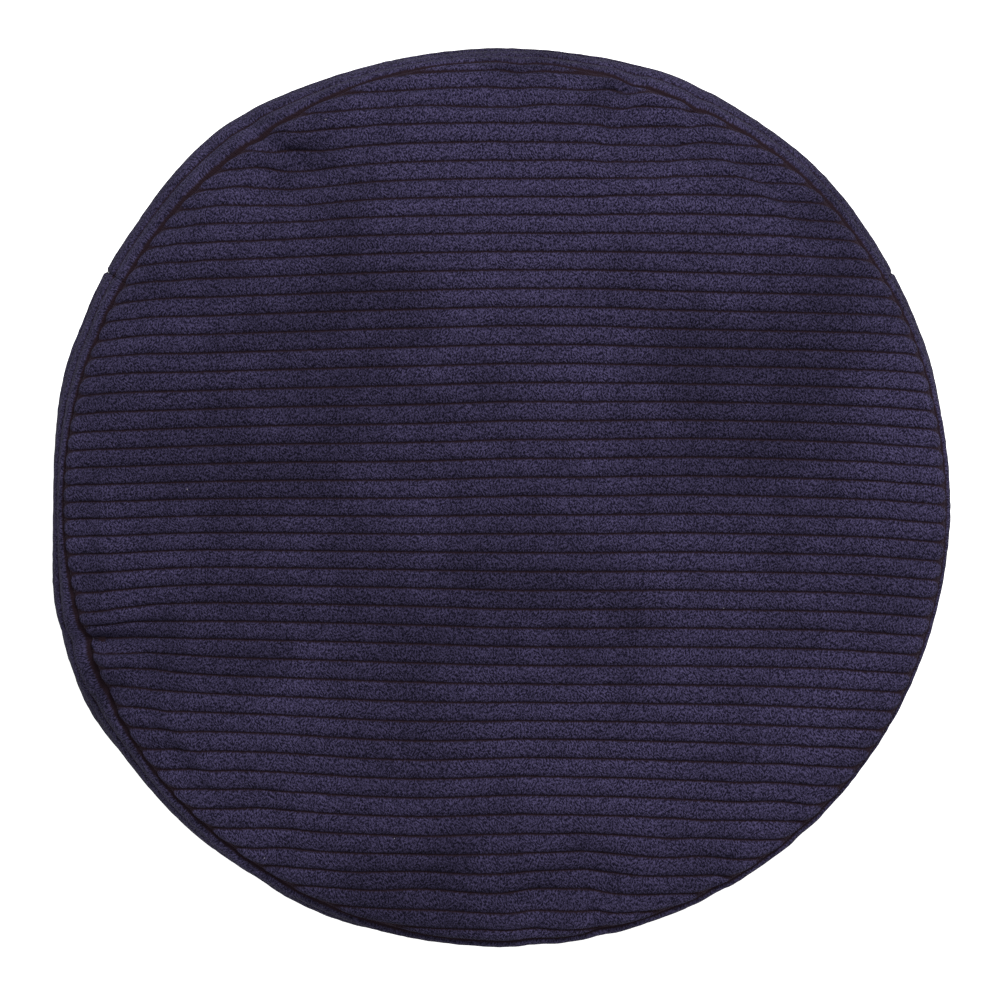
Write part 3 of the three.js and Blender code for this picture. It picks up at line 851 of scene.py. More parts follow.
class ClothMesh:
    """Points and faces of one piece, with each point's place on the flat cloth and its pile."""

    MAP = "cloth"
    WALE = "wale"

    def __init__(self) -> None:
        """Starts with nothing."""
        self.points: list[np.ndarray] = []
        self.flat: list[np.ndarray] = []
        self.wale: list[np.ndarray] = []
        self.faces: list[np.ndarray] = []
        self.count = 0

    def add(self, points: np.ndarray, flat: np.ndarray, wale: Optional[np.ndarray] = None) -> np.ndarray:
        """Adds points.

        Args:
            points: Places, with any leading shape.
            flat: Two places along the flat cloth for each.
            wale: Height of the pile at each, from 0 to 1.

        Returns:
            The points' numbers, in the same shape.
        """
        shape = points.shape[:-1]
        total = int(np.prod(shape))
        numbers = np.arange(self.count, self.count + total).reshape(shape)
        self.points.append(points.reshape(-1, 3))
        self.flat.append(np.broadcast_to(flat, shape + (2,)).reshape(-1, 2))
        self.wale.append(np.zeros(total) if wale is None else wale.reshape(-1))
        self.count += total
        return numbers

    def strip(self, grid: np.ndarray, round_first: bool = False, round_second: bool = False) -> None:
        """Adds the four-sided faces between neighbours in a grid of point numbers.

        Args:
            grid: Point numbers in rows and columns.
            round_first: Whether the last row joins the first.
            round_second: Whether the last column joins the first.
        """
        if round_first:
            grid = np.concatenate([grid, grid[:1]])
        if round_second:
            grid = np.concatenate([grid, grid[:, :1]], axis=1)
        corners = [grid[:-1, :-1], grid[1:, :-1], grid[1:, 1:], grid[:-1, 1:]]
        self.faces.append(np.stack([corner.ravel() for corner in corners], -1))

    def fan(self, middle: int, ring: np.ndarray) -> None:
        """Adds the three-sided faces from a middle point to a closed ring."""
        after = np.roll(ring, -1)
        self.faces.append(np.stack([np.full(len(ring), middle), ring, after], -1))

    def bridge(self, outer: np.ndarray, outer_angle: np.ndarray, inner: np.ndarray) -> None:
        """Joins two closed rings that have different numbers of points.

        Args:
            outer: Point numbers of the finer ring, in rising angle.
            outer_angle: Angle of each, from 0 to a whole turn.
            inner: Point numbers of the coarser ring, evenly spaced from angle 0.
        """
        count = len(inner)
        nearest = np.round(outer_angle / (2 * math.pi) * count).astype(int)
        after = np.append(nearest[1:], nearest[0] + count)
        for step in range(len(outer)):
            next_outer = outer[(step + 1) % len(outer)]
            here = inner[nearest[step] % count]
            self.faces.append(np.array([[outer[step], next_outer, here]]))
            for i in range(nearest[step], after[step]):
                self.faces.append(np.array([[next_outer, inner[(i + 1) % count], inner[i % count]]]))

    def build(self, name: str, smooth: bool = True) -> bpy.types.Object:
        """Makes the mesh, with its faces outwards.

        Args:
            name: The piece's name.
            smooth: Whether it is shaded smooth.

        Returns:
            The piece, at the origin.
        """
        points = np.concatenate(self.points)
        sizes = np.concatenate([np.full(len(block), block.shape[1]) for block in self.faces])
        corners = np.concatenate([block.ravel() for block in self.faces])
        mesh = bpy.data.meshes.new(name)
        mesh.vertices.add(len(points))
        mesh.vertices.foreach_set("co", points.ravel())
        mesh.loops.add(len(corners))
        mesh.loops.foreach_set("vertex_index", corners)
        mesh.polygons.add(len(sizes))
        mesh.polygons.foreach_set("loop_start", np.cumsum(sizes) - sizes)
        mesh.update(calc_edges=True)
        mesh.attributes.new(self.WALE, "FLOAT", "POINT").data.foreach_set("value", np.concatenate(self.wale))
        layer = mesh.uv_layers.new(name=self.MAP)
        layer.data.foreach_set("uv", np.concatenate(self.flat)[corners].ravel())
        mesh.polygons.foreach_set("use_smooth", np.full(len(sizes), smooth))
        piece = bpy.data.objects.new(name, mesh)
        bpy.context.scene.collection.objects.link(piece)
        face_outwards(piece)
        return piece


def face_outwards(piece: bpy.types.Object) -> None:
    """Turns a closed piece's faces outwards.

    Args:
        piece: The piece.
    """
    select_only([piece])
    bpy.ops.object.mode_set(mode="EDIT")
    bpy.ops.mesh.select_all(action="SELECT")
    bpy.ops.mesh.normals_make_consistent(inside=False)
    bpy.ops.object.mode_set(mode="OBJECT")


def select_only(pieces: Sequence[bpy.types.Object]) -> None:
    """Selects these pieces and nothing else, the first of them active."""
    bpy.ops.object.select_all(action="DESELECT")
    for piece in pieces:
        piece.select_set(True)
    bpy.context.view_layer.objects.active = pieces[0]


def join(pieces: Sequence[bpy.types.Object], name: str) -> bpy.types.Object:
    """Joins pieces into one and names it."""
    select_only(pieces)
    bpy.ops.object.join()
    joined = bpy.context.active_object
    joined.name = name
    joined.data.name = name
    return joined


# ---- The cover ------------------------------------------------------------------------------------------


@dataclass
class RoundPanel:
    """The top or the bottom panel: a disc of cloth whose wales run straight across.

    Attributes:
        form: The filled cover.
        cloth: The corduroy, with this panel's fineness.
        part: "top" or "base".
        columns: Points along each wale.
        first_line: Place of one ground line from the middle.
        drift: How its wales run off the straight.
        fuzz: Height of the pile's own unevenness.
    """

    TRIES = 8

    form: CoverForm
    cloth: Corduroy
    part: str
    columns: int
    first_line: float
    drift: Drift = Drift(0.0, 0.0)
    fuzz: float = 0.22 * MM
    spokes: int = 300
    inner_rings: int = 30
    allowance: float = 9.0 * MM
    turned: float = 1.2 * MM
    lining_side: float = 6.0 * MM
    slack: float = 0.15 * MM

    def build(self, name: str, dressed: Dressed) -> bpy.types.Object:
        """Builds the panel.

        Args:
            name: Its name.
            dressed: What it wears and stands for.

        Returns:
            The panel.
        """
        reach = self.form.widths[self.part]
        mesh = ClothMesh()
        outside, along, across = self.pile_side(mesh, reach)
        self.lining_side_of(mesh, outside, along, across, reach)
        panel = mesh.build(name)
        dressed.put_on(panel)
        return panel

    def pile_side(self, mesh: ClothMesh, reach: float) -> tuple:
        """Adds the side with the wales.

        Args:
            mesh: The mesh to add to.
            reach: The flat cloth's radius.

        Returns:
            The points' numbers, and their places along and across the wales.
        """
        edge = 0.4 * MM
        rows = self.cloth.rows(-reach + edge, reach - edge, self.first_line)
        step = np.linspace(-1, 1, self.columns)
        spread = 0.5 + 0.5 * (0.6 * step + 0.4 * np.sin(step * math.pi / 2))
        first, last = (self.row_end(rows, reach, side)[:, None] for side in (-1, 1))
        wale = np.repeat(rows[:, None], self.columns, axis=1)
        along = first + (last - first) * spread[None, :]
        across = wale - self.drift.fall(along / reach, wale / reach)
        for row in (0, -1):
            turn = np.hypot(along[row], across[row])
            along[row] *= reach / turn
            across[row] *= reach / turn
        distance = np.minimum(np.hypot(along, across), reach)
        azimuth = np.arctan2(across, along)
        pile = self.cloth.pile(wale, reach - distance, self.first_line)
        tufts = SmoothNoise(21, 4.5 * MM).at(along, wale) + 0.6 * SmoothNoise(22, 2.2 * MM).at(along, wale)
        height = self.cloth.relief * pile + self.fuzz * tufts * pile
        places = self.form.sewn(self.part, distance / reach, azimuth, self.cloth.relief - height)
        places[..., 2] = np.maximum(places[..., 2], 0)
        flat = np.stack([along, wale], -1)
        outside = mesh.add(places, flat, self.cloth.covered(wale, reach - distance, self.first_line))
        mesh.strip(outside)
        return outside, along, across

    def row_end(self, rows: np.ndarray, reach: float, side: int) -> np.ndarray:
        """Gives where each row meets the seam, on the left (-1) or the right (1)."""
        along = side * np.sqrt(reach**2 - rows**2)
        for _ in range(self.TRIES):
            across = rows - self.drift.fall(along / reach, rows / reach)
            along = side * np.sqrt(np.maximum(reach**2 - across**2, (0.02 * reach) ** 2))
        return along

    def lining_side_of(
        self, mesh: ClothMesh, outside: np.ndarray, along: np.ndarray, across: np.ndarray, reach: float
    ) -> None:
        """Adds the seam allowance and the back of the cloth.

        Args:
            mesh: The mesh to add to.
            outside: Numbers of the points on the pile side.
            along: Their places along the wales.
            across: Their places across the wales.
            reach: The flat cloth's radius.
        """
        border = [np.s_[0, :-1], np.s_[:-1, -1], np.s_[-1, :0:-1], np.s_[:0:-1, 0]]
        numbers = np.concatenate([outside[part] for part in border])
        angle = np.concatenate([np.arctan2(across[part], along[part]) for part in border])
        angle = np.mod(angle, 2 * math.pi)
        first = int(np.argmin(angle))
        numbers, angle = np.roll(numbers, -first), np.roll(angle, -first)
        azimuth = np.arange(self.spokes) * 2 * math.pi / self.spokes
        rings = self.allowance_rings(azimuth)
        shares = np.linspace(1 - self.lining_side / reach, 1 / self.inner_rings, self.inner_rings)
        rings += [
            self.form.layer(self.part, np.full(self.spokes, share), azimuth, self.cloth.cloth + self.slack)
            for share in shares
        ]
        out = [reach] * 2 + [share * reach for share in shares]
        flats = [np.stack([r * np.cos(azimuth), r * np.sin(azimuth)], -1) for r in out]
        grid = mesh.add(np.stack(rings), np.stack(flats))
        mesh.bridge(numbers, angle, grid[0])
        mesh.strip(grid, round_second=True)
        centre = self.form.layer(self.part, np.zeros(1), np.zeros(1), self.cloth.cloth + self.slack)
        middle = mesh.add(centre, np.zeros(2))
        mesh.fan(int(middle[0]), grid[-1])

    def allowance_rings(self, azimuth: np.ndarray) -> list[np.ndarray]:
        """Gives the two edges of the seam allowance, turned in flat beside the band's."""
        side = 1 if self.part == "top" else -1
        seam = self.form.sewn(self.part, np.ones_like(azimuth), azimuth, np.full_like(azimuth, self.cloth.relief))
        outwards = np.stack([np.cos(azimuth), np.sin(azimuth), 0 * azimuth], -1)
        rings = []
        for rise in (0.15 * MM, 0.15 * MM + self.turned):
            ring = seam - self.allowance * outwards
            ring[:, 2] += side * rise
            rings.append(ring)
        return rings


@dataclass
class BandPiece:
    """A strip of the side band, whose wales run round the cushion.

    Attributes:
        form: The filled cover.
        cloth: The corduroy.
        start: Angle of its first end.
        end: Angle of its other end.
        upper: Its upper edge, as a length down from the top seam.
        lower: Its lower edge.
        sewn_above: Whether its upper edge is in the top seam.
        sewn_below: Whether its lower edge is in the bottom seam.
        first_line: Place of one ground line, as a length down from the top seam.
        pressed: Lengths down from the top seam where topstitching presses the pile flat.
    """

    form: CoverForm
    cloth: Corduroy
    start: float
    end: float
    upper: float
    lower: float
    sewn_above: bool
    sewn_below: bool
    first_line: float = 0.0
    pressed: Sequence[float] = ()
    column: float = 3.4 * MM
    fuzz: float = 0.22 * MM
    allowance: float = 9.0 * MM
    turned: float = 1.2 * MM
    lining_edge: float = 6.0 * MM
    press_width: float = 1.6 * MM
    end_sharpness: float = 2.0
    end_fill: float = 0.3

    def angles(self) -> np.ndarray:
        """Gives the columns' angles, closer together at both ends."""
        radius = self.form.sizes.radius
        ends = np.array([0, 0.6, 1.4, 2.4, 3.6, 5.0]) * MM / radius
        first, last = self.start + ends[-1], self.end - ends[-1]
        count = max(2, round((last - first) * radius / self.column))
        return np.concatenate([self.start + ends[:-1], np.linspace(first, last, count), self.end - ends[-2::-1]])

    def build(self, name: str, dressed: Dressed) -> bpy.types.Object:
        """Builds the strip.

        Args:
            name: Its name.
            dressed: What it wears and stands for.

        Returns:
            The strip.
        """
        mesh = ClothMesh()
        rows = self.cloth.rows(self.upper, self.lower, self.first_line)
        across, azimuth = np.meshgrid(rows, self.angles(), indexing="ij")
        outer, covered = self.pile_side(across, azimuth)
        inner = self.back(across, azimuth)
        radius = self.form.sizes.radius
        flat = np.stack([azimuth * radius, across], -1)
        outside = mesh.add(outer, flat, covered)
        inside = mesh.add(inner, flat)
        section = [outside]
        below = self.allowance_rows(outer[-1], azimuth[-1], 1) if self.sewn_below else None
        above = self.allowance_rows(outer[0], azimuth[0], -1) if self.sewn_above else None
        if below is not None:
            section.append(mesh.add(below, flat[-1]))
        section.append(inside[::-1])
        if above is not None:
            section.append(mesh.add(above[::-1], flat[0]))
        mesh.strip(np.concatenate(section), round_first=True)
        for end in (0, -1):
            mesh.strip(np.stack([outside[:, end], inside[:, end]], -1))
            if below is not None:
                mesh.faces.append(self.cap(outside[-1, end], section[1][:, end], inside[-1, end]))
            if above is not None:
                mesh.faces.append(self.cap(inside[0, end], section[-1][:, end], outside[0, end]))
        strip = mesh.build(name)
        dressed.put_on(strip)
        return strip

    @staticmethod
    def cap(first: int, edge: np.ndarray, last: int) -> np.ndarray:
        """Gives the face that closes one end of a seam allowance."""
        return np.array([[first, *edge, last]])

    def pile_side(self, across: np.ndarray, azimuth: np.ndarray) -> tuple[np.ndarray, np.ndarray]:
        """Gives the side with the wales.

        Args:
            across: Lengths down from the top seam.
            azimuth: Angles in radians.

        Returns:
            The places and how well the pile covers the ground at each.
        """
        radius = self.form.sizes.radius
        ends = np.minimum(azimuth - self.start, self.end - azimuth) * radius * self.end_sharpness
        ends = np.maximum(ends, self.end_fill * self.cloth.end_roll)
        edge = np.minimum(np.minimum(across - self.upper, self.lower - across), ends)
        pile = self.cloth.pile(across, edge, self.first_line)
        for line in self.pressed:
            pile = pile * (1 - 0.7 * np.exp(-(((across - line) / self.press_width) ** 2)))
        round_band = azimuth * radius
        tufts = SmoothNoise(31, 4.5 * MM).at(round_band, across) + 0.6 * SmoothNoise(32, 2.2 * MM).at(round_band, across)
        height = self.cloth.relief * pile + self.fuzz * tufts * pile
        share = across / self.form.band_width
        covered = self.cloth.covered(across, edge, self.first_line)
        return self.form.sewn("band", share, azimuth, self.cloth.relief - height), covered

    def back(self, across: np.ndarray, azimuth: np.ndarray) -> np.ndarray:
        """Gives the back of the cloth, which stops short of the seams' allowances."""
        first = self.upper + (self.lining_edge if self.sewn_above else 0)
        last = self.lower - (self.lining_edge if self.sewn_below else 0)
        within = first + (across - self.upper) * (last - first) / (self.lower - self.upper)
        share = within / self.form.band_width
        return self.form.layer("band", share, azimuth, np.full_like(share, self.cloth.cloth + 0.2 * MM))

    def allowance_rows(self, seam: np.ndarray, azimuth: np.ndarray, side: int) -> np.ndarray:
        """Gives the two edges of a seam allowance, turned in flat beside the panel's."""
        outwards = np.stack([np.cos(azimuth), np.sin(azimuth), 0 * azimuth], -1)
        rows = []
        for rise in (0.15 * MM, 0.15 * MM + self.turned):
            row = seam - self.allowance * outwards
            row[:, 2] += side * rise
            rows.append(row)
        return np.stack(rows)


@dataclass
class Stitching:
    """Rows of stitches in one thread.

    Attributes:
        form: The filled cover.
        pitch: From one stitch to the next.
        length: Length of the thread that shows in one stitch.
        thread: The thread's radius.
    """

    form: CoverForm
    pitch: float = 3.6 * MM
    length: float = 2.9 * MM
    thread: float = 0.42 * MM

    def stitch(self) -> bpy.types.Object:
        """Models one stitch along X: a short thread, thicker in the middle, whose ends dive."""
        bpy.ops.object.select_all(action="DESELECT")
        bpy.ops.mesh.primitive_cylinder_add(vertices=6, radius=self.thread, depth=self.length * 0.4)
        stitch = bpy.context.active_object
        bpy.ops.object.mode_set(mode="EDIT")
        bpy.ops.mesh.select_all(action="SELECT")
        bpy.ops.transform.rotate(value=math.pi / 2, orient_axis="Y", center_override=(0, 0, 0))
        for side in (-1, 1):
            self.dive(stitch, side)
        bpy.ops.object.mode_set(mode="OBJECT")
        return stitch

    def dive(self, stitch: bpy.types.Object, side: int) -> None:
        """Draws out one end of the stitch and turns it down into the cloth.

        Args:
            stitch: The stitch, in edit mode.
            side: -1 or 1, the end on that side of X.
        """
        bpy.ops.mesh.select_all(action="DESELECT")
        bpy.ops.mesh.select_mode(type="FACE")
        bpy.ops.object.mode_set(mode="OBJECT")
        for face in stitch.data.polygons:
            face.select = face.normal.x * side > 0.9
        bpy.ops.object.mode_set(mode="EDIT")
        out = self.length * 0.3
        bpy.ops.mesh.extrude_region_move(
            TRANSFORM_OT_translate={"value": (side * out, 0, -1.4 * self.thread)},
        )
        bpy.ops.transform.resize(value=(0.6, 0.6, 0.6), center_override=self.end_centre(side))

    def end_centre(self, side: int) -> tuple[float, float, float]:
        """Gives the middle of a drawn-out end."""
        return (side * self.length / 2, 0, -1.4 * self.thread)

    def sew(self, name: str, rows: Sequence[np.ndarray], dressed: Dressed) -> bpy.types.Object:
        """Sews rows of stitches and joins them.

        Args:
            name: Name of the stitching.
            rows: For each row, the stitches' frames as arrays of 4 by 4.
            dressed: What it wears and stands for.

        Returns:
            The stitching.
        """
        first = self.stitch()
        copies = []
        for frames in rows:
            for place in frames:
                copy = bpy.data.objects.new(name, first.data.copy())
                copy.data.transform(Matrix(place.tolist()))
                bpy.context.scene.collection.objects.link(copy)
                copies.append(copy)
        bpy.data.objects.remove(first)
        sewn = join(copies, name)
        select_only([sewn])
        bpy.ops.object.shade_smooth()
        dressed.put_on(sewn)
        return sewn

    def frames(self, points: np.ndarray, outwards: np.ndarray, closed: bool = False) -> np.ndarray:
        """Gives a frame at each stitch, along a line of points.

        Args:
            points: The stitches' middles.
            outwards: The direction out of the cloth at each.
            closed: Whether the line comes back to its start.

        Returns:
            One 4 by 4 frame for each stitch.
        """
        if closed:
            along = np.roll(points, -1, axis=0) - np.roll(points, 1, axis=0)
        else:
            along = np.gradient(points, axis=0)
        along = along / np.linalg.norm(along, axis=1, keepdims=True)
        side = np.cross(outwards, along)
        side = side / np.linalg.norm(side, axis=1, keepdims=True)
        up = np.cross(along, side)
        frames = np.tile(np.eye(4), (len(points), 1, 1))
        frames[:, :3, 0], frames[:, :3, 1], frames[:, :3, 2], frames[:, :3, 3] = along, side, up, points
        return frames

    def round_seam(self, part: str, depth: float) -> np.ndarray:
        """Places stitches all round a panel's seam.

        Args:
            part: "top" or "base".
            depth: How deep they lie in the seam.

        Returns:
            Their frames.
        """
        count = round(2 * math.pi * self.form.sizes.seam_radius / self.pitch)
        azimuth = np.arange(count) * 2 * math.pi / count
        edge = np.ones(count)
        points = self.form.sewn(part, edge, azimuth, np.full(count, depth))
        above = self.form.sewn(part, edge, azimuth, np.full(count, depth - self.pitch))
        return self.frames(points, above - points, closed=True)

    def along_band(self, down: float, start: float, end: float, depth: float) -> np.ndarray:
        """Places stitches along the band.

        Args:
            down: Their length down from the top seam.
            start: Angle of the first stitch.
            end: Angle of the last.
            depth: How deep they lie in the pile.

        Returns:
            Their frames.
        """
        count = max(2, round((end - start) * self.form.sizes.radius / self.pitch))
        azimuth = np.linspace(start, end, count)
        share = np.full(count, down / self.form.band_width)
        points = self.form.layer("band", share, azimuth, np.full(count, depth))
        return self.frames(points, self.form.normal("band", share, azimuth))

    def up_band(self, azimuth: float, upper: float, lower: float, depth: float) -> np.ndarray:
        """Places stitches up and down the band.

        Args:
            azimuth: Their angle.
            upper: Length down from the top seam of the first.
            lower: Length down from the top seam of the last.
            depth: How deep they lie in the pile.

        Returns:
            Their frames.
        """
        count = max(2, round((lower - upper) / self.pitch))
        share = np.linspace(upper, lower, count) / self.form.band_width
        turn = np.full(count, azimuth)
        points = self.form.layer("band", share, turn, np.full(count, depth))
        return self.frames(points, self.form.normal("band", share, turn))


class Cover:
    """The corduroy cover: two round panels, the band in front, the strips beside the zip and the zip's tabs."""

    BUTT = 0.3 * MM
    TAB_LENGTH = 14 * MM
    TAB_GAP = 0.3 * MM
    TOPSTITCH = 6 * MM
    END_STITCH = 5 * MM

    def __init__(self, form: CoverForm, finishes: "Finishes") -> None:
        """Keeps the form and the finishes.

        Args:
            form: The filled cover.
            finishes: The finishes of all pieces.
        """
        self.form = form
        self.finishes = finishes
        sizes = form.sizes
        self.upper_fold = form.down(sizes.middle + sizes.fold)
        self.lower_fold = form.down(sizes.middle - sizes.fold)
        self.butt = self.BUTT / 2 / sizes.radius

    def build(self) -> None:
        """Builds every cover piece."""
        self.panels()
        self.bands()
        self.tabs()
        self.stitching()

    def panels(self) -> None:
        """Builds the top and the bottom panel."""
        cloth = Corduroy(steps=9)
        top = RoundPanel(self.form, cloth, "top", columns=200, first_line=1.2 * MM, drift=Drift(8 * MM, 3.7 * MM))
        top.build("cover_top", Dressed(self.finishes.seat_cloth, Slot.CORDUROY, ["top_panel"]))
        cloth = Corduroy(steps=8)
        base = RoundPanel(self.form, cloth, "base", columns=150, first_line=-3.0 * MM, inner_rings=16)
        base.build("cover_base", Dressed(self.finishes.base_cloth, Slot.CORDUROY, ["bottom_panel"]))

    def bands(self) -> None:
        """Builds the front band and the strips above and below the zip."""
        sizes, form, cloth = self.form.sizes, self.form, Corduroy(steps=9, end_roll=4.5 * MM)
        whole = form.band_width
        start, end = sizes.zip_start + self.butt, sizes.zip_end - self.butt
        front = BandPiece(
            form, cloth, sizes.zip_end + self.butt, sizes.zip_start + 2 * math.pi - self.butt, 0, whole, True, True
        )
        front.build("cover_front_band", self.dressed("front_band"))
        upper = BandPiece(
            form, cloth, start, end, 0, self.upper_fold, True, False, pressed=[self.upper_fold - self.TOPSTITCH]
        )
        upper.build("cover_zip_strip_upper", self.dressed("zip_band_upper"))
        lower = BandPiece(
            form, cloth, start, end, self.lower_fold, whole, False, True, pressed=[self.lower_fold + self.TOPSTITCH]
        )
        lower.build("cover_zip_strip_lower", self.dressed("zip_band_lower"))

    def tabs(self) -> None:
        """Builds the two tabs that close the zip's ends."""
        sizes = self.form.sizes
        cloth = Corduroy(steps=9, pitch=self.lower_fold - self.upper_fold, end_roll=3.5 * MM)
        length = self.TAB_LENGTH / sizes.radius
        gap = self.TAB_GAP
        places = {
            "right": (sizes.zip_start + self.butt, sizes.zip_start + length),
            "left": (sizes.zip_end - length, sizes.zip_end - self.butt),
        }
        for side, (start, end) in places.items():
            tab = BandPiece(
                self.form, cloth, start, end, self.upper_fold + gap, self.lower_fold - gap, False, False,
                first_line=self.upper_fold, column=1.6 * MM,
            )
            tab.build(f"cover_zip_tab_{side}", self.dressed(f"zip_tab_{side}"))

    def dressed(self, node: str) -> Dressed:
        """Gives what a band piece wears and stands for."""
        return Dressed(self.finishes.band_cloth, Slot.CORDUROY, [node])

    def stitching(self) -> None:
        """Sews the round seams, the rows beside the zip and the band's end seams."""
        sizes, form = self.form.sizes, self.form
        seam = Stitching(form)
        for part, name, node in (("top", "seam_stitches_top", "top_seam_thread"),
                                 ("base", "seam_stitches_base", "bottom_seam_thread")):
            rows = [seam.round_seam(part, Corduroy.relief + form.GROOVE * 0.2)]
            seam.sew(name, rows, Dressed(self.finishes.thread, Slot.THREAD, [node]))
        rows = []
        depth = 1.5 * MM
        inset = 2 * self.TOPSTITCH / sizes.radius
        for down in (self.upper_fold - self.TOPSTITCH, self.lower_fold + self.TOPSTITCH):
            rows.append(seam.along_band(down, sizes.zip_start + inset, sizes.zip_end - inset, depth))
        for azimuth in (sizes.zip_start + inset, sizes.zip_end - inset):
            for first, last in ((self.upper_fold - self.TOPSTITCH, self.upper_fold - 2 * MM),
                                (self.lower_fold + 2 * MM, self.lower_fold + self.TOPSTITCH)):
                rows.append(seam.up_band(azimuth, first, last, depth))
        for azimuth in (sizes.zip_start - self.END_STITCH / sizes.radius,
                        sizes.zip_end + self.END_STITCH / sizes.radius):
            rows.append(seam.up_band(azimuth, self.END_STITCH, form.band_width - self.END_STITCH, depth))
        seam.sew("topstitching", rows, Dressed(self.finishes.thread, Slot.THREAD))


# ---- The zip --------------------------------------------------------------------------------------------


class Zip:
    """The zip in the rear of the band: two tapes, two coils, three stops, the slider and its pull."""

    TOOTH_PITCH = 1.45 * MM
    WIRE = 0.42 * MM
    HEAD = 0.62 * MM
    HEAD_GAP = 0.58 * MM
    TAPE_DEPTH = 3.75 * MM
    TAPE_THICKNESS = 0.8 * MM
    TAPE_ROWS = 9
    CORD = 0.55 * MM

    def __init__(self, form: CoverForm, finishes: "Finishes") -> None:
        """Keeps the form and the finishes.

        Args:
            form: The filled cover.
            finishes: The finishes of all pieces.
        """
        self.form = form
        self.finishes = finishes

    def build(self) -> None:
        """Builds every piece of the zip."""
        for side in ("upper", "lower"):
            self.tape(side)
            self.coil(side)
        metal = self.finishes.metal
        for node in ("zip_top_stop_upper", "zip_top_stop_lower", "zip_bottom_stop"):
            self.rounded(node, 0.22 * MM, Dressed(metal, Slot.METAL, [node]))
        self.rounded("zip_slider", 0.16 * MM, Dressed(metal, Slot.METAL, ["zip_slider"], Body.SLIDER))
        self.rounded("zip_pull", 0.2 * MM, Dressed(metal, Slot.METAL, ["zip_pull"], Body.PULL))

    def ends(self, node: str) -> tuple[float, float]:
        """Gives the angles where a piece of the zip starts and ends."""
        low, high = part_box(node)
        start = math.atan2(low.y, high.x)
        return start, math.pi - start

    def tape(self, side: str) -> None:
        """Builds one woven tape, which follows the band.

        Args:
            side: "upper" or "lower".
        """
        form, sizes = self.form, self.form.sizes
        node = f"zip_tape_{side}"
        low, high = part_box(node)
        slit = (low.z if side == "upper" else high.z) - sizes.middle
        edge = (high.z if side == "upper" else low.z) - sizes.middle
        downs = np.array([form.down(sizes.middle + off) for off in np.linspace(slit, edge, self.TAPE_ROWS)])
        start, end = self.ends(node)
        count = round((end - start) * sizes.radius / (4 * MM))
        share, azimuth = np.meshgrid(downs / form.band_width, np.linspace(start, end, count), indexing="ij")
        selvedge = 0.15 * MM * np.exp(-(((downs - downs[-1]) / (1.2 * MM)) ** 2))[:, None]
        outer = form.layer("band", share, azimuth, np.full_like(share, self.TAPE_DEPTH) - selvedge)
        inner = form.layer("band", share, azimuth, np.full_like(share, self.TAPE_DEPTH + self.TAPE_THICKNESS))
        flat = np.stack([azimuth * sizes.tape, share * form.band_width], -1)
        mesh = ClothMesh()
        outside, inside = mesh.add(outer, flat), mesh.add(inner, flat)
        mesh.strip(np.concatenate([outside, inside[::-1]]), round_first=True)
        for column in (0, -1):
            mesh.strip(np.stack([outside[:, column], inside[:, column]], -1))
        tape = mesh.build(f"zip_tape_cloth_{side}")
        Dressed(self.finishes.tape, Slot.TAPE, [node]).put_on(tape)

    def tooth(self, sign: int) -> bpy.types.Object:
        """Models one turn of the coil at angle 0: a bar across the tape with a rounded head.

        Args:
            sign: 1 for the upper coil and -1 for the lower.

        Returns:
            The turn, about the height of the zip's middle.
        """
        low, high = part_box("zip_coil_upper")
        middle = self.form.sizes.middle
        radius = (high.y + self.form.sizes.tape) / 2 + 0.15 * MM
        back = high.z - middle
        bar = back - self.HEAD_GAP - self.HEAD
        bpy.ops.object.select_all(action="DESELECT")
        bpy.ops.mesh.primitive_cylinder_add(
            vertices=6, radius=self.WIRE, depth=bar,
            location=(radius, 0, middle + sign * (back - bar / 2)),
        )
        tooth = bpy.context.active_object
        bpy.ops.object.transform_apply(location=True, rotation=True, scale=True)
        for face in tooth.data.polygons:
            face.select = face.normal.z * sign < -0.9
        bpy.ops.object.mode_set(mode="EDIT")
        bpy.ops.mesh.select_mode(type="FACE")
        bpy.ops.object.mode_set(mode="OBJECT")
        for face in tooth.data.polygons:
            face.select = face.normal.z * sign < -0.9
        bpy.ops.object.mode_set(mode="EDIT")
        end = middle + sign * (back - bar)
        for out, wide in ((0.35, 1.35), (0.4, 1.0), (0.25, 0.6)):
            step = -sign * self.HEAD * out
            bpy.ops.mesh.extrude_region_move(TRANSFORM_OT_translate={"value": (0, 0, step)})
            end += step
            bpy.ops.transform.resize(value=(wide, wide, 1), center_override=(radius, 0, end))
        bpy.ops.object.mode_set(mode="OBJECT")
        return tooth

    def coil(self, side: str) -> None:
        """Builds one coil from copies of its turn, with the cord that its turns wind round.

        Args:
            side: "upper" or "lower".
        """
        sizes = self.form.sizes
        node = f"zip_coil_{side}"
        sign = 1 if side == "upper" else -1
        low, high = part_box(node)
        start, end = self.ends(node)
        radius = (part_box("zip_coil_upper")[1].y + sizes.tape) / 2
        pitch = self.TOOTH_PITCH / radius
        offset = 0.0 if side == "upper" else pitch / 2
        first = self.tooth(sign)
        turns = []
        for step in range(int((end - start - pitch) / pitch)):
            turn = bpy.data.objects.new(node, first.data.copy())
            turn.data.transform(Matrix.Rotation(start + pitch * (step + 0.5) + offset, 4, "Z"))
            bpy.context.scene.collection.objects.link(turn)
            turns.append(turn)
        bpy.data.objects.remove(first)
        back = high.z if side == "upper" else low.z
        turns.append(self.cord(radius, back - sign * 0.75 * MM, start, end))
        coil = join(turns, f"zip_turns_{side}")
        select_only([coil])
        bpy.ops.object.shade_smooth_by_angle(angle=math.radians(50))
        Dressed(self.finishes.coil, Slot.COIL, [node]).put_on(coil)

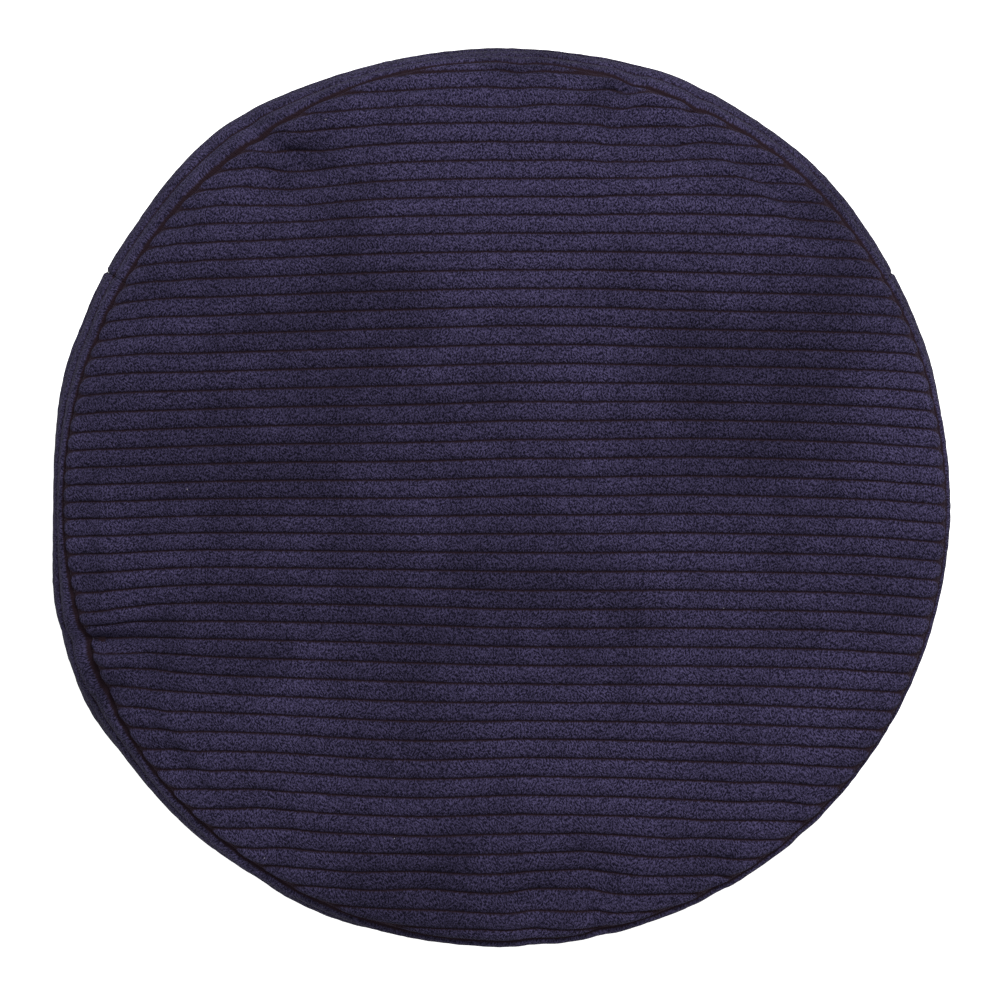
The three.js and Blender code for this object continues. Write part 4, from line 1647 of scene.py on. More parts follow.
    def cord(self, radius: float, height: float, start: float, end: float) -> bpy.types.Object:
        """Models the cord inside a coil, by spinning its section round the cushion.

        Args:
            radius: Its distance from the cushion's axis.
            height: Its height.
            start: Angle of its first end.
            end: Angle of its other end.

        Returns:
            The cord.
        """
        bpy.ops.object.select_all(action="DESELECT")
        bpy.ops.mesh.primitive_circle_add(
            vertices=6, radius=self.CORD, fill_type="NGON", location=(radius, 0, height), rotation=(math.pi / 2, 0, 0)
        )
        cord = bpy.context.active_object
        bpy.ops.object.transform_apply(location=True, rotation=True, scale=True)
        cord.data.transform(Matrix.Rotation(start, 4, "Z"))
        bpy.ops.object.mode_set(mode="EDIT")
        bpy.ops.mesh.select_all(action="SELECT")
        bpy.ops.mesh.spin(steps=160, angle=start - end, center=(0, 0, 0), axis=(0, 0, 1))
        bpy.ops.mesh.select_all(action="SELECT")
        bpy.ops.mesh.remove_doubles(threshold=0.01 * MM)
        bpy.ops.object.mode_set(mode="OBJECT")
        face_outwards(cord)
        return cord

    def rounded(self, node: str, edge: float, dressed: Dressed) -> None:
        """Makes a metal piece from the frame's own shape, with its edges rounded as by tumbling.

        Args:
            node: The frame's piece.
            edge: Width of the rounding.
            dressed: What it wears and stands for.
        """
        piece = bpy.data.objects.new(f"{node}_metal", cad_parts[node].data.copy())
        bpy.context.scene.collection.objects.link(piece)
        select_only([piece])
        bpy.ops.object.mode_set(mode="EDIT")
        bpy.ops.mesh.select_all(action="SELECT")
        bpy.ops.mesh.remove_doubles(threshold=0.01 * MM)
        bpy.ops.mesh.dissolve_limited(angle_limit=math.radians(2))
        bpy.ops.object.mode_set(mode="OBJECT")
        bevel = piece.modifiers.new("rounded", "BEVEL")
        bevel.width = edge
        bevel.segments = 3
        bevel.limit_method = "ANGLE"
        bevel.angle_limit = math.radians(35)
        bpy.ops.object.modifier_apply(modifier=bevel.name)
        bpy.ops.object.shade_smooth_by_angle(angle=math.radians(35))
        dressed.put_on(piece)


# ---- The pad --------------------------------------------------------------------------------------------


@dataclass(frozen=True)
class Outline:
    """Half of a round layer's section, as points from its axis.

    Attributes:
        radii: Distances from the axis.
        heights: Heights.
        follows: How far each point follows the cover's own unevenness, 0 to 1.
        closed: Whether the section is a loop that stays off the axis.
    """

    radii: np.ndarray
    heights: np.ndarray
    follows: np.ndarray
    closed: bool = False


def bow(start: tuple, end: tuple, bulge: float, count: int) -> tuple[np.ndarray, np.ndarray]:
    """Gives points of a section's side that stands out in the middle.

    Args:
        start: Radius and height of its first point.
        end: Radius and height of its last point.
        bulge: How far its middle stands out.
        count: How many points it has.

    Returns:
        Radii and heights.
    """
    share = np.linspace(-1, 1, count)
    radii = np.linspace(start[0], end[0], count) + bulge * (1 - np.abs(share) ** 2.2)
    return radii, np.linspace(start[1], end[1], count)


class Pad:
    """The pad inside the cover: a sewn lining, three layers of wadding and a foam core."""

    SPOKES = 288
    LINING = 0.8 * MM
    LINING_BULGE = 8.4 * MM
    SIDE_GAP = 0.7 * MM

    def __init__(self, form: CoverForm, finishes: "Finishes") -> None:
        """Keeps the form and the finishes.

        Args:
            form: The filled cover.
            finishes: The finishes of all pieces.
        """
        self.form = form
        self.finishes = finishes

    def build(self) -> None:
        """Builds every layer."""
        self.linings()
        self.waddings()
        self.foam()

    @staticmethod
    def dome_height(radii: np.ndarray, reach: float, edge: float, crown: float) -> np.ndarray:
        """Gives the height of a crowned layer, from its crown down to its edge at a reach."""
        return edge + (crown - edge) * (1 - np.minimum(radii / reach, 1) ** 3) ** 0.6

    def hull_height(self, radii: np.ndarray, reach: float, edge: float, low: float) -> np.ndarray:
        """Gives the height of a rounded underside, from its flat up to its edge at a reach."""
        share = np.clip((radii - reach + self.form.ROLL) / self.form.ROLL, 0, 1)
        return low + (edge - low) * (1 - (1 - share**2) ** 0.6)

    def dome(self, reach: float, edge: float, crown: float, count: int, outermost: float) -> tuple:
        """Gives a crowned layer's section, from its middle out to a last radius."""
        radii = outermost * (1 - (1 - np.linspace(0, 1, count)) ** 2)
        return radii, self.dome_height(radii, reach, edge, crown)

    def hull(self, reach: float, edge: float, low: float, count: int) -> tuple:
        """Gives a rounded underside's section, from its middle out to its reach."""
        radii = reach * (1 - (1 - np.linspace(0, 1, count)) ** 2.5)
        return radii, self.hull_height(radii, reach, edge, low)

    def turn(self, name: str, outline: Outline, noise: tuple[float, float, int]) -> bpy.types.Object:
        """Turns a section round the axis, with each point following the cover.

        Args:
            name: The layer's name.
            outline: Half its section.
            noise: Cell and height of its own unevenness, and which noise it is.

        Returns:
            The layer.
        """
        azimuth = np.arange(self.SPOKES) * 2 * math.pi / self.SPOKES
        radii, turn = np.meshgrid(outline.radii, azimuth, indexing="ij")
        heights = np.repeat(outline.heights[:, None], self.SPOKES, axis=1)
        places = np.stack([radii * np.cos(turn), radii * np.sin(turn), heights], -1)
        places = places + self.follow(radii, turn, heights) * outline.follows[:, None, None]
        cell, height, seed = noise
        out = SmoothNoise(seed, cell).at(places[..., 0] + heights, places[..., 1] + 1.0)
        places[..., 2] += height * out * (radii > 0)
        length = np.concatenate([[0], np.cumsum(np.hypot(np.diff(outline.radii), np.diff(outline.heights)))])
        flat = np.stack([np.cos(turn) * length[:, None], np.sin(turn) * length[:, None]], -1)
        mesh = ClothMesh()
        if outline.closed:
            mesh.strip(mesh.add(places, flat), round_first=True, round_second=True)
        else:
            grid = mesh.add(places[1:-1], flat[1:-1])
            mesh.strip(grid, round_second=True)
            for end, ring in ((0, grid[0]), (-1, grid[-1])):
                middle = mesh.add(places[end, :1], flat[end, :1])
                mesh.fan(int(middle[0]), ring)
        return mesh.build(name)

    def follow(self, radii: np.ndarray, turn: np.ndarray, heights: np.ndarray) -> np.ndarray:
        """Gives how the cover's unevenness moves points of the pad.

        Args:
            radii: Distances from the axis.
            turn: Angles.
            heights: Heights.

        Returns:
            One move for each.
        """
        form, sizes = self.form, self.form.sizes
        down = (sizes.top_seam - heights) / (sizes.top_seam - sizes.bottom_seam)
        side = np.clip(down, 0, 1)
        share = np.minimum(radii / sizes.seam_radius, 1)
        over = form.place("top", share, turn) - form.plain("top", share, turn)
        beside = form.place("band", side, turn) - form.plain("band", side, turn)
        weight = ease((heights - sizes.middle) / (sizes.top_seam - sizes.middle))[..., None]
        near_edge = ease((radii / sizes.seam_radius - 0.8) / 0.15)[..., None]
        return over * weight * (1 - side[..., None]) + beside * near_edge * (1 - weight * (1 - side[..., None]))

    def linings(self) -> None:
        """Builds the lining's top, band and bottom."""
        top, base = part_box("lining_top"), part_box("lining_bottom")
        reach = top[1].x
        seam, low_seam = self.form.sizes.top_seam - 6 * MM, self.form.sizes.bottom_seam + 6 * MM
        radii, heights = self.dome(reach, seam, top[1].z, 40, reach)
        inner_reach = reach - 2 * self.LINING
        inner = self.dome(inner_reach, seam, top[1].z - self.LINING, 40, inner_reach)
        self.lining("pad_lining_top", "lining_top", (radii, heights), inner)
        radii, heights = self.hull(reach, low_seam, base[0].z, 40)
        inner = self.hull(inner_reach, low_seam, base[0].z + self.LINING, 40)
        self.lining("pad_lining_bottom", "lining_bottom", (radii, heights), inner)
        gap = self.SIDE_GAP
        out = bow((reach, seam - gap), (reach, low_seam + gap), self.LINING_BULGE, 24)
        back = bow((reach - self.LINING, seam - gap), (reach - self.LINING, low_seam + gap), self.LINING_BULGE, 24)
        outline = Outline(
            np.concatenate([out[0], back[0][::-1]]),
            np.concatenate([out[1], back[1][::-1]]),
            np.full(48, 1.0),
            closed=True,
        )
        band = self.turn("pad_lining_band", outline, (30 * MM, 0.0, 41))
        Dressed(self.finishes.lining, Slot.LINING, ["lining_band"]).put_on(band)

    def lining(self, name: str, node: str, outer: tuple, inner: tuple) -> None:
        """Builds one round panel of the lining.

        Args:
            name: Its name.
            node: The frame's piece that it replaces.
            outer: Radii and heights of its outside, from the middle.
            inner: Radii and heights of its inside, from the middle.
        """
        follows = np.concatenate([outer[0], inner[0][::-1]]) > 0
        outline = Outline(
            np.concatenate([outer[0], inner[0][::-1]]), np.concatenate([outer[1], inner[1][::-1]]), follows * 1.0
        )
        panel = self.turn(name, outline, (40 * MM, 0.0, 42))
        Dressed(self.finishes.lining, Slot.LINING, [node]).put_on(panel)

    def waddings(self) -> None:
        """Builds the wadding above, below and round the foam."""
        top, base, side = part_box("wadding_top"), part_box("wadding_bottom"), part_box("wadding_side")
        seam = self.form.sizes.top_seam - 6 * MM
        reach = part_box("lining_top")[1].x - 2 * self.LINING
        radii, heights = self.dome(reach, seam, top[1].z, 36, top[1].x)
        edge = top[0].z
        follows = np.append(np.ones(36), [0.0, 0.0])
        follows[0] = 0.0
        outline = Outline(np.append(radii, [top[1].x, 0.0]), np.append(heights, [edge, edge]), follows)
        self.padded("pad_wadding_top", "wadding_top", outline, (9 * MM, 0.35 * MM, 51))
        corner = 1.5 * MM
        radii = np.array([0, 0.5, 0.9, 0.99, 1.0, 1.0, 0.99, 0.9, 0.5, 0]) * base[1].x
        low, high = base[0].z, base[1].z
        heights = np.array([low, low, low, low, low + corner, high - corner, high, high, high, high])
        self.padded("pad_wadding_bottom", "wadding_bottom", Outline(radii, heights, np.zeros(10)), (9 * MM, 0.25 * MM, 52))
        core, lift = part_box("foam_core"), 0.9 * MM
        inside = core[1].x + 0.3 * MM
        over = np.linspace(reach - lift, inside, 7)
        above = self.dome_height(over, reach, seam, top[1].z) - lift
        below = self.hull_height(over, reach, self.form.sizes.bottom_seam + 6 * MM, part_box("lining_bottom")[0].z)
        below = below + self.LINING + lift
        out = bow((over[0], above[0] - lift), (over[0], below[0] + lift), side[1].x - over[0], 22)
        outline = Outline(
            np.concatenate([out[0], over, over[::-1]]),
            np.concatenate([out[1], below, above[::-1]]),
            np.concatenate([np.ones(22), np.linspace(1, 0, 7), np.ones(7)]),
            closed=True,
        )
        self.padded("pad_wadding_side", "wadding_side", outline, (9 * MM, 0.3 * MM, 53))

    def foam(self) -> None:
        """Builds the foam core, with its chamfered rims."""
        low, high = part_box("foam_core")
        rim = 6 * MM
        reach = high.x
        radii = np.array([0, 0.4 * reach, 0.8 * reach, reach - rim, reach, reach, reach - rim, 0.8 * reach, 0.4 * reach, 0])
        bottom, top = low.z, high.z
        heights = np.array([bottom, bottom, bottom, bottom, bottom + rim, top - rim, top, top, top, top])
        outline = Outline(radii, heights, np.zeros(10))
        self.padded("pad_foam_core", "foam_core", outline, (5 * MM, 0.1 * MM, 54))

    def padded(self, name: str, node: str, outline: Outline, noise: tuple[float, float, int]) -> None:
        """Args:
            name: Its name.
            node: The frame's piece that it replaces.
            outline: Half its section.
            noise: Cell and height of its own unevenness, and which noise it is.
        """
        layer = self.turn(name, outline, noise)
        is_foam = node == "foam_core"
        material = self.finishes.foam if is_foam else self.finishes.wadding
        Dressed(material, Slot.FOAM if is_foam else Slot.WADDING, [node]).put_on(layer)


# ---- Finishes -------------------------------------------------------------------------------------------

Colour = tuple[float, float, float]


class NodeBoard:
    """A node tree, with short ways to place and join its nodes."""

    def __init__(self, tree: bpy.types.NodeTree) -> None:
        """Keeps the tree."""
        self.tree = tree

    def add(self, kind: str, inputs: Optional[dict] = None, **settings: object) -> bpy.types.Node:
        """Adds a node.

        Args:
            kind: The node's type.
            inputs: A value, or another node's output, for each named or numbered input.
            **settings: The node's own settings.

        Returns:
            The node.
        """
        node = self.tree.nodes.new(kind)
        for name, value in settings.items():
            setattr(node, name, value)
        for name, value in (inputs or {}).items():
            if isinstance(value, bpy.types.NodeSocket):
                self.tree.links.new(value, node.inputs[name])
            else:
                node.inputs[name].default_value = value
        return node

    def maths(self, operation: str, *values: object, clamp: bool = False) -> bpy.types.NodeSocket:
        """Adds a Math node and gives its output."""
        node = self.add("ShaderNodeMath", dict(enumerate(values)), operation=operation, use_clamp=clamp)
        return node.outputs[0]

    def noise(self, vector: bpy.types.NodeSocket, cell: float, detail: float = 2.0) -> bpy.types.NodeSocket:
        """Adds a Noise Texture whose features are about one cell wide and gives its value."""
        inputs = {"Vector": vector, "Scale": 1 / cell, "Detail": detail, "Roughness": 0.55}
        return self.add("ShaderNodeTexNoise", inputs).outputs["Fac"]

    def turned(self, vector: bpy.types.NodeSocket, angle: float, scale: tuple) -> bpy.types.NodeSocket:
        """Turns a vector about Z, then stretches it.

        Args:
            vector: The vector.
            angle: The turn.
            scale: The stretch along each axis.

        Returns:
            The new vector.
        """
        turn = self.add("ShaderNodeVectorRotate", {"Vector": vector, "Angle": angle}, rotation_type="Z_AXIS")
        stretch = {0: turn.outputs[0], 1: scale}
        return self.add("ShaderNodeVectorMath", stretch, operation="MULTIPLY").outputs[0]

    def span(self, value: bpy.types.NodeSocket, low: float, high: float) -> bpy.types.NodeSocket:
        """Stretches a value so that low becomes 0 and high becomes 1, smoothly."""
        inputs = {"Value": value, "From Min": low, "From Max": high}
        return self.add("ShaderNodeMapRange", inputs, interpolation_type="SMOOTHSTEP").outputs["Result"]

    def mix(self, share: object, first: object, second: object) -> bpy.types.NodeSocket:
        """Mixes two colours and gives the result."""
        node = self.add("ShaderNodeMix", data_type="RGBA", clamp_factor=True)
        for socket, value in ((node.inputs["Factor"], share), (node.inputs[6], first), (node.inputs[7], second)):
            if isinstance(value, bpy.types.NodeSocket):
                self.tree.links.new(value, socket)
            elif isinstance(value, tuple):
                socket.default_value = (*value, 1.0)
            else:
                socket.default_value = value
        return node.outputs[2]


def new_group(name: str, takes: dict[str, str], gives: dict[str, str]) -> tuple:
    """Starts a shader node group.

    Args:
        name: The group's name.
        takes: Socket type of each input, by name.
        gives: Socket type of each output, by name.

    Returns:
        The group, a board to place nodes on, its inputs and the node that takes its outputs.
    """
    group = bpy.data.node_groups.new(name, "ShaderNodeTree")
    for socket, kind in takes.items():
        group.interface.new_socket(socket, in_out="INPUT", socket_type=kind)
    for socket, kind in gives.items():
        group.interface.new_socket(socket, in_out="OUTPUT", socket_type=kind)
    board = NodeBoard(group)
    return group, board, board.add("NodeGroupInput").outputs, board.add("NodeGroupOutput")


class Effects:
    """The node groups that several finishes share."""

    VECTOR = "NodeSocketVector"
    VALUE = "NodeSocketFloat"

    def __init__(self) -> None:
        """Builds every group."""
        self.pile = self.build_pile()
        self.weave = self.build_weave()
        self.clumps = self.build_clumps()

    def build_pile(self) -> bpy.types.NodeTree:
        """Builds the look of cut pile: leaning tufts, brushed patches and stray lint.

        Returns:
            The group: takes Cloth (metres over the flat cloth) and Place (metres), gives Streak, Patch, Fine,
            Lint and Height.
        """
        group, board, takes, gives = new_group(
            "pile",
            {"Cloth": self.VECTOR, "Place": self.VECTOR},
            {name: self.VALUE for name in ("Streak", "Patch", "Fine", "Lint", "Height")},
        )
        cloth, place = takes["Cloth"], takes["Place"]
        left = board.noise(board.turned(cloth, 0.5, (1.0, 0.55, 1.0)), 0.95 * MM, 1)
        right = board.noise(board.turned(cloth, -0.5, (1.0, 0.55, 1.0)), 0.95 * MM, 1)
        which = board.span(board.noise(cloth, 20 * MM), 0.42, 0.58)
        streak = board.add("ShaderNodeMix", {"Factor": which, "A": left, "B": right}).outputs[0]
        ruffle = board.maths("MULTIPLY_ADD", board.noise(cloth, 5 * MM, 2), 0.2, -0.1)
        streak = board.maths("ADD", streak, ruffle)
        broad = board.noise(place, 150 * MM, 1)
        near = board.noise(place, 30 * MM, 2)
        patch = board.maths("ADD", board.maths("MULTIPLY", broad, 0.6), board.maths("MULTIPLY", near, 0.4))
        fine = board.noise(cloth, 0.6 * MM, 1)
        spots = board.add("ShaderNodeTexVoronoi", {"Vector": cloth, "Scale": 1 / (34 * MM)}, voronoi_dimensions="3D")
        size = board.maths("MULTIPLY", board.noise(cloth, 0.8 * MM, 1), 0.05)
        lint = board.maths("LESS_THAN", spots.outputs["Distance"], board.maths("SUBTRACT", size, 0.013))
        height = board.maths("ADD", board.maths("MULTIPLY", streak, 0.75), board.maths("MULTIPLY", fine, 0.25))
        for name, value in (("Streak", streak), ("Patch", patch), ("Fine", fine), ("Lint", lint), ("Height", height)):
            board.tree.links.new(value, gives.inputs[name])
        return group

    def build_weave(self) -> bpy.types.NodeTree:
        """Builds a plain weave of threads that cross.

        Returns:
            The group: takes Cloth (metres) and Thread (the threads' pitch in metres), gives Height, Over and Slub.
        """
        group, board, takes, gives = new_group(
            "weave",
            {"Cloth": self.VECTOR, "Thread": self.VALUE},
            {"Height": self.VALUE, "Over": self.VALUE, "Slub": self.VALUE},
        )
        parts = board.add("ShaderNodeSeparateXYZ", {0: takes["Cloth"]})
        turns = [board.maths("DIVIDE", parts.outputs[i], takes["Thread"]) for i in (0, 1)]
        waves = [board.maths("SINE", board.maths("MULTIPLY", turn, math.pi)) for turn in turns]
        over = board.maths("MULTIPLY_ADD", board.maths("MULTIPLY", waves[0], waves[1]), 0.5, 0.5)
        ridges = [board.maths("ABSOLUTE", board.maths("COSINE", board.maths("MULTIPLY", t, math.pi))) for t in turns]
        height = board.maths("MAXIMUM", board.maths("MULTIPLY", ridges[0], over),
                             board.maths("MULTIPLY", ridges[1], board.maths("SUBTRACT", 1.0, over)))
        slub = board.noise(board.turned(takes["Cloth"], 0.0, (0.15, 1.0, 1.0)), 1.2 * MM, 3)
        for name, value in (("Height", height), ("Over", over), ("Slub", slub)):
            board.tree.links.new(value, gives.inputs[name])
        return group

    def build_clumps(self) -> bpy.types.NodeTree:
        """Builds uneven clumps with finer grain in them, for wadding, foam and worn metal.

        Returns:
            The group: takes Place (metres) and Size (a clump's width in metres), gives Clump, Grain and Height.
        """
        group, board, takes, gives = new_group(
            "clumps",
            {"Place": self.VECTOR, "Size": self.VALUE},
            {"Clump": self.VALUE, "Grain": self.VALUE, "Height": self.VALUE},
        )
        often = board.maths("DIVIDE", 1.0, takes["Size"])
        finer = board.maths("MULTIPLY", often, 6.0)
        clump = board.add("ShaderNodeTexNoise", {"Vector": takes["Place"], "Scale": often, "Detail": 3.0}).outputs["Fac"]
        grain = board.add("ShaderNodeTexNoise", {"Vector": takes["Place"], "Scale": finer, "Detail": 2.0}).outputs["Fac"]
        height = board.maths("ADD", board.maths("MULTIPLY", clump, 0.65), board.maths("MULTIPLY", grain, 0.35))
        for name, value in (("Clump", clump), ("Grain", grain), ("Height", height)):
            board.tree.links.new(value, gives.inputs[name])
        return group


def start_material(name: str) -> tuple[bpy.types.Material, NodeBoard, bpy.types.Node]:
    """Starts a material.

    Args:
        name: Its name.

    Returns:
        The material, a board to place nodes on and its Principled BSDF.
    """
    material = bpy.data.materials.new(name)
    material.use_nodes = True
    board = NodeBoard(material.node_tree)
    return material, board, material.node_tree.nodes["Principled BSDF"]


@dataclass(frozen=True)
class CorduroyFinish:
    """Plum-blue cotton pile over a maroon ground.

    Attributes:
        name: The material's name.
        deep: Colour of the pile where its grain sinks: the tufts' own tone with painted shade between them.
        brushed: Colour of the pile where its grain rises: brushed-up tufts, with a painted highlight on them.
        ground: Colour of the bare ground between the wales.
        lint: Colour of stray lint.
        contrast: Where in the grain the colour turns from deep to brushed.
        patches: How much brushed patches lighten the cloth.
        grazing_shade: How much painted shade dims the pile where it is seen edge-on, as on the side band from above.
        sheen: Strength of the pile's sheen.
        sheen_colour: Its colour.
    """

    name: str
    deep: Colour = (0.0062, 0.0048, 0.0130)
    brushed: Colour = (0.0555, 0.0465, 0.1030)
    ground: Colour = (0.0190, 0.0100, 0.0145)
    lint: Colour = (0.30, 0.28, 0.32)
    contrast: tuple[float, float] = (0.41, 0.62)
    patches: float = 0.55
    grazing_shade: float = 0.85
    sheen: float = 0.06
    sheen_colour: Colour = (0.50, 0.45, 0.85)

    def material(self, effects: Effects) -> bpy.types.Material:
        """Builds the material.

        Args:
            effects: The shared node groups.

        Returns:
            The material.
        """
        material, board, shader = start_material(self.name)
        cloth = board.add("ShaderNodeUVMap", uv_map=ClothMesh.MAP).outputs["UV"]
        place = board.add("ShaderNodeTexCoord").outputs["Object"]
        wale = board.add("ShaderNodeAttribute", attribute_name=ClothMesh.WALE).outputs["Fac"]
        pile = board.add("ShaderNodeGroup", node_tree=effects.pile)
        board.tree.links.new(cloth, pile.inputs["Cloth"])
        board.tree.links.new(place, pile.inputs["Place"])
        look = pile.outputs
        # The grain that sets the tufts' colour also raises the bump, so the colour holds painted shade where the tufts
        # sink and a painted highlight where they rise, on top of their random tone.
        grain = board.maths("MULTIPLY_ADD", look["Fine"], 0.3, board.maths("MULTIPLY", look["Streak"], 0.7))
        tufts = board.mix(board.span(grain, self.contrast[0], self.contrast[1]), self.deep, self.brushed)
        shade = board.maths("MULTIPLY_ADD", board.span(look["Patch"], 0.35, 0.65), self.patches, 1 - self.patches / 2)
        # Painted shade: the pile's colour is dimmed where its surface is seen edge-on, as on the side band's rim from
        # above, and lifted a little where it faces the camera.
        facing = board.add("ShaderNodeLayerWeight", {"Blend": 0.5}).outputs["Facing"]
        edge_on_shade = board.maths("MULTIPLY", board.maths("POWER", facing, 1.5), self.grazing_shade)
        shade = board.maths("MULTIPLY", shade, board.maths("SUBTRACT", 1.0 + self.grazing_shade / 8, edge_on_shade))
        brushed = board.mix(1.0, tufts, board.add("ShaderNodeCombineXYZ", {0: shade, 1: shade, 2: shade}).outputs[0])
        brushed.node.blend_type = "MULTIPLY"
        overhang = board.maths("MULTIPLY_ADD", look["Streak"], 0.5, board.maths("SUBTRACT", wale, 0.25))
        bare = board.maths("SUBTRACT", 1.0, board.span(overhang, 0.1, 0.6))
        covered = board.mix(bare, brushed, self.ground)
        colour = board.mix(look["Lint"], covered, self.lint)
        board.tree.links.new(colour, shader.inputs["Base Color"])
        rough = board.maths("MULTIPLY_ADD", look["Fine"], 0.12, 0.84)
        board.tree.links.new(rough, shader.inputs["Roughness"])
        bump = board.add("ShaderNodeBump", {"Height": look["Height"], "Strength": 1.0, "Distance": 2.2 * MM})
        board.tree.links.new(bump.outputs["Normal"], shader.inputs["Normal"])
        shader.inputs["Sheen Weight"].default_value = self.sheen
        shader.inputs["Sheen Roughness"].default_value = 0.45
        shader.inputs["Sheen Tint"].default_value = (*self.sheen_colour, 1.0)
        shader.inputs["Specular IOR Level"].default_value = 0.06
        return material


@dataclass(frozen=True)
class WovenFinish:
    """Woven cloth or tape.

    Attributes:
        name: The material's name.
        warp: Colour of the threads one way.
        weft: Colour of the threads the other way.
        thread: The threads' pitch.
        relief: How far the threads stand out.
        sheen: Strength of the sheen.
    """

    name: str
    warp: Colour
    weft: Colour
    thread: float
    relief: float
    sheen: float = 0.08

    def material(self, effects: Effects) -> bpy.types.Material:
        """Builds the material.

        Args:
            effects: The shared node groups.

        Returns:
            The material.
        """
        material, board, shader = start_material(self.name)
        cloth = board.add("ShaderNodeUVMap", uv_map=ClothMesh.MAP).outputs["UV"]
        weave = board.add("ShaderNodeGroup", node_tree=effects.weave)
        board.tree.links.new(cloth, weave.inputs["Cloth"])
        weave.inputs["Thread"].default_value = self.thread
        threads = board.mix(weave.outputs["Over"], self.weft, self.warp)
        # Painted shade: the colour dims toward a dimmed weft where the weave's height sinks between its threads, mixed
        # with the slubs' own tone.
        shaded_gap_colour = tuple(0.6 * part for part in self.weft)
        slub = board.span(weave.outputs["Slub"], 0.3, 0.7)
        gap_shade = board.span(weave.outputs["Height"], 0.0, 0.5)
        shade = board.maths("MULTIPLY", board.maths("MULTIPLY_ADD", slub, 0.4, 0.6), gap_shade)
        colour = board.mix(shade, shaded_gap_colour, threads)
        board.tree.links.new(colour, shader.inputs["Base Color"])
        board.tree.links.new(board.maths("MULTIPLY_ADD", slub, 0.15, 0.75), shader.inputs["Roughness"])
        height = board.maths("MULTIPLY", weave.outputs["Height"], board.maths("MULTIPLY_ADD", slub, 0.3, 0.7))
        bump = board.add("ShaderNodeBump", {"Height": height, "Strength": 0.6, "Distance": self.relief})
        board.tree.links.new(bump.outputs["Normal"], shader.inputs["Normal"])
        shader.inputs["Sheen Weight"].default_value = self.sheen
        return material


@dataclass(frozen=True)
class ThreadFinish:
    """Twisted sewing thread.

    Attributes:
        name: The material's name.
        ply_shade: Colour between the plies, painted shade.
        light: Colour on the plies.
        ply: Length of the twist.
    """

    name: str
    ply_shade: Colour = (0.012, 0.010, 0.022)
    light: Colour = (0.050, 0.044, 0.085)
    ply: float = 0.55 * MM

    def material(self, effects: Effects) -> bpy.types.Material:
        """Builds the material.

        Args:
            effects: The shared node groups.

        Returns:
            The material.
        """
        material, board, shader = start_material(self.name)
        place = board.add("ShaderNodeTexCoord").outputs["Object"]
        slanted = board.turned(place, 0.6, (1.0, 1.0, 1.3))
        wave = board.add("ShaderNodeTexWave", {"Vector": slanted, "Scale": 0.3 / self.ply, "Distortion": 1.5}, bands_direction="DIAGONAL")
        clumps = board.add("ShaderNodeGroup", node_tree=effects.clumps)
        board.tree.links.new(place, clumps.inputs["Place"])
        clumps.inputs["Size"].default_value = 0.6 * MM
        # Painted shade: the thread's colour dims between the twist's plies, where the bump sinks, over the grain's
        # tone.
        twist = wave.outputs["Fac"]
        shade = board.maths("MULTIPLY", twist, board.maths("MULTIPLY_ADD", clumps.outputs["Grain"], 0.5, 0.5))
        board.tree.links.new(board.mix(shade, self.ply_shade, self.light), shader.inputs["Base Color"])
        board.tree.links.new(board.maths("MULTIPLY_ADD", clumps.outputs["Grain"], 0.2, 0.5), shader.inputs["Roughness"])
        bump = board.add("ShaderNodeBump", {"Height": twist, "Strength": 0.5, "Distance": 0.15 * MM})
        board.tree.links.new(bump.outputs["Normal"], shader.inputs["Normal"])
        shader.inputs["Sheen Weight"].default_value = 0.1
        return material


@dataclass(frozen=True)
class GrainFinish:
    """Wadding, foam, moulded coil or plated metal: a ground colour with clumps, grain and wear, and painted shade in
    the clumps' hollows.

    Attributes:
        name: The material's name.
        low: Colour of the hollows, painted shade.
        high: Colour of the raised grain.
        size: A clump's width.
        relief: How far the grain stands out.
        roughness: Roughness of the hollows.
        rougher: How much rougher the grain is.
        metallic: 1 for metal.
        worn: Colour where edges are rubbed through, if they are.
        coat: Strength of a clear coat.
    """

    name: str
    low: Colour
    high: Colour
    size: float
    relief: float
    roughness: float
    rougher: float
    metallic: float = 0.0
    worn: Optional[Colour] = None
    coat: float = 0.0

    def material(self, effects: Effects) -> bpy.types.Material:
        """Builds the material.

        Args:
            effects: The shared node groups.

        Returns:
            The material.
        """
        material, board, shader = start_material(self.name)
        place = board.add("ShaderNodeTexCoord").outputs["Object"]
        clumps = board.add("ShaderNodeGroup", node_tree=effects.clumps)
        board.tree.links.new(place, clumps.inputs["Place"])
        clumps.inputs["Size"].default_value = self.size
        # Painted shade: the colour sinks toward low in the clumps' hollows, where the bump sinks, over the clumps'
        # random tone.
        colour = board.mix(board.span(clumps.outputs["Clump"], 0.3, 0.7), self.low, self.high)
        if self.worn is not None:
            pointed = board.add("ShaderNodeNewGeometry").outputs["Pointiness"]
            edges = board.maths("MULTIPLY", board.span(pointed, 0.52, 0.6), board.span(clumps.outputs["Grain"], 0.35, 0.65))
            colour = board.mix(edges, colour, self.worn)
        board.tree.links.new(colour, shader.inputs["Base Color"])
        rough = board.maths("MULTIPLY_ADD", clumps.outputs["Grain"], self.rougher, self.roughness)
        board.tree.links.new(rough, shader.inputs["Roughness"])
        bump = board.add("ShaderNodeBump", {"Height": clumps.outputs["Height"], "Strength": 0.4, "Distance": self.relief})
        board.tree.links.new(bump.outputs["Normal"], shader.inputs["Normal"])
        shader.inputs["Metallic"].default_value = self.metallic
        shader.inputs["Coat Weight"].default_value = self.coat
        return material


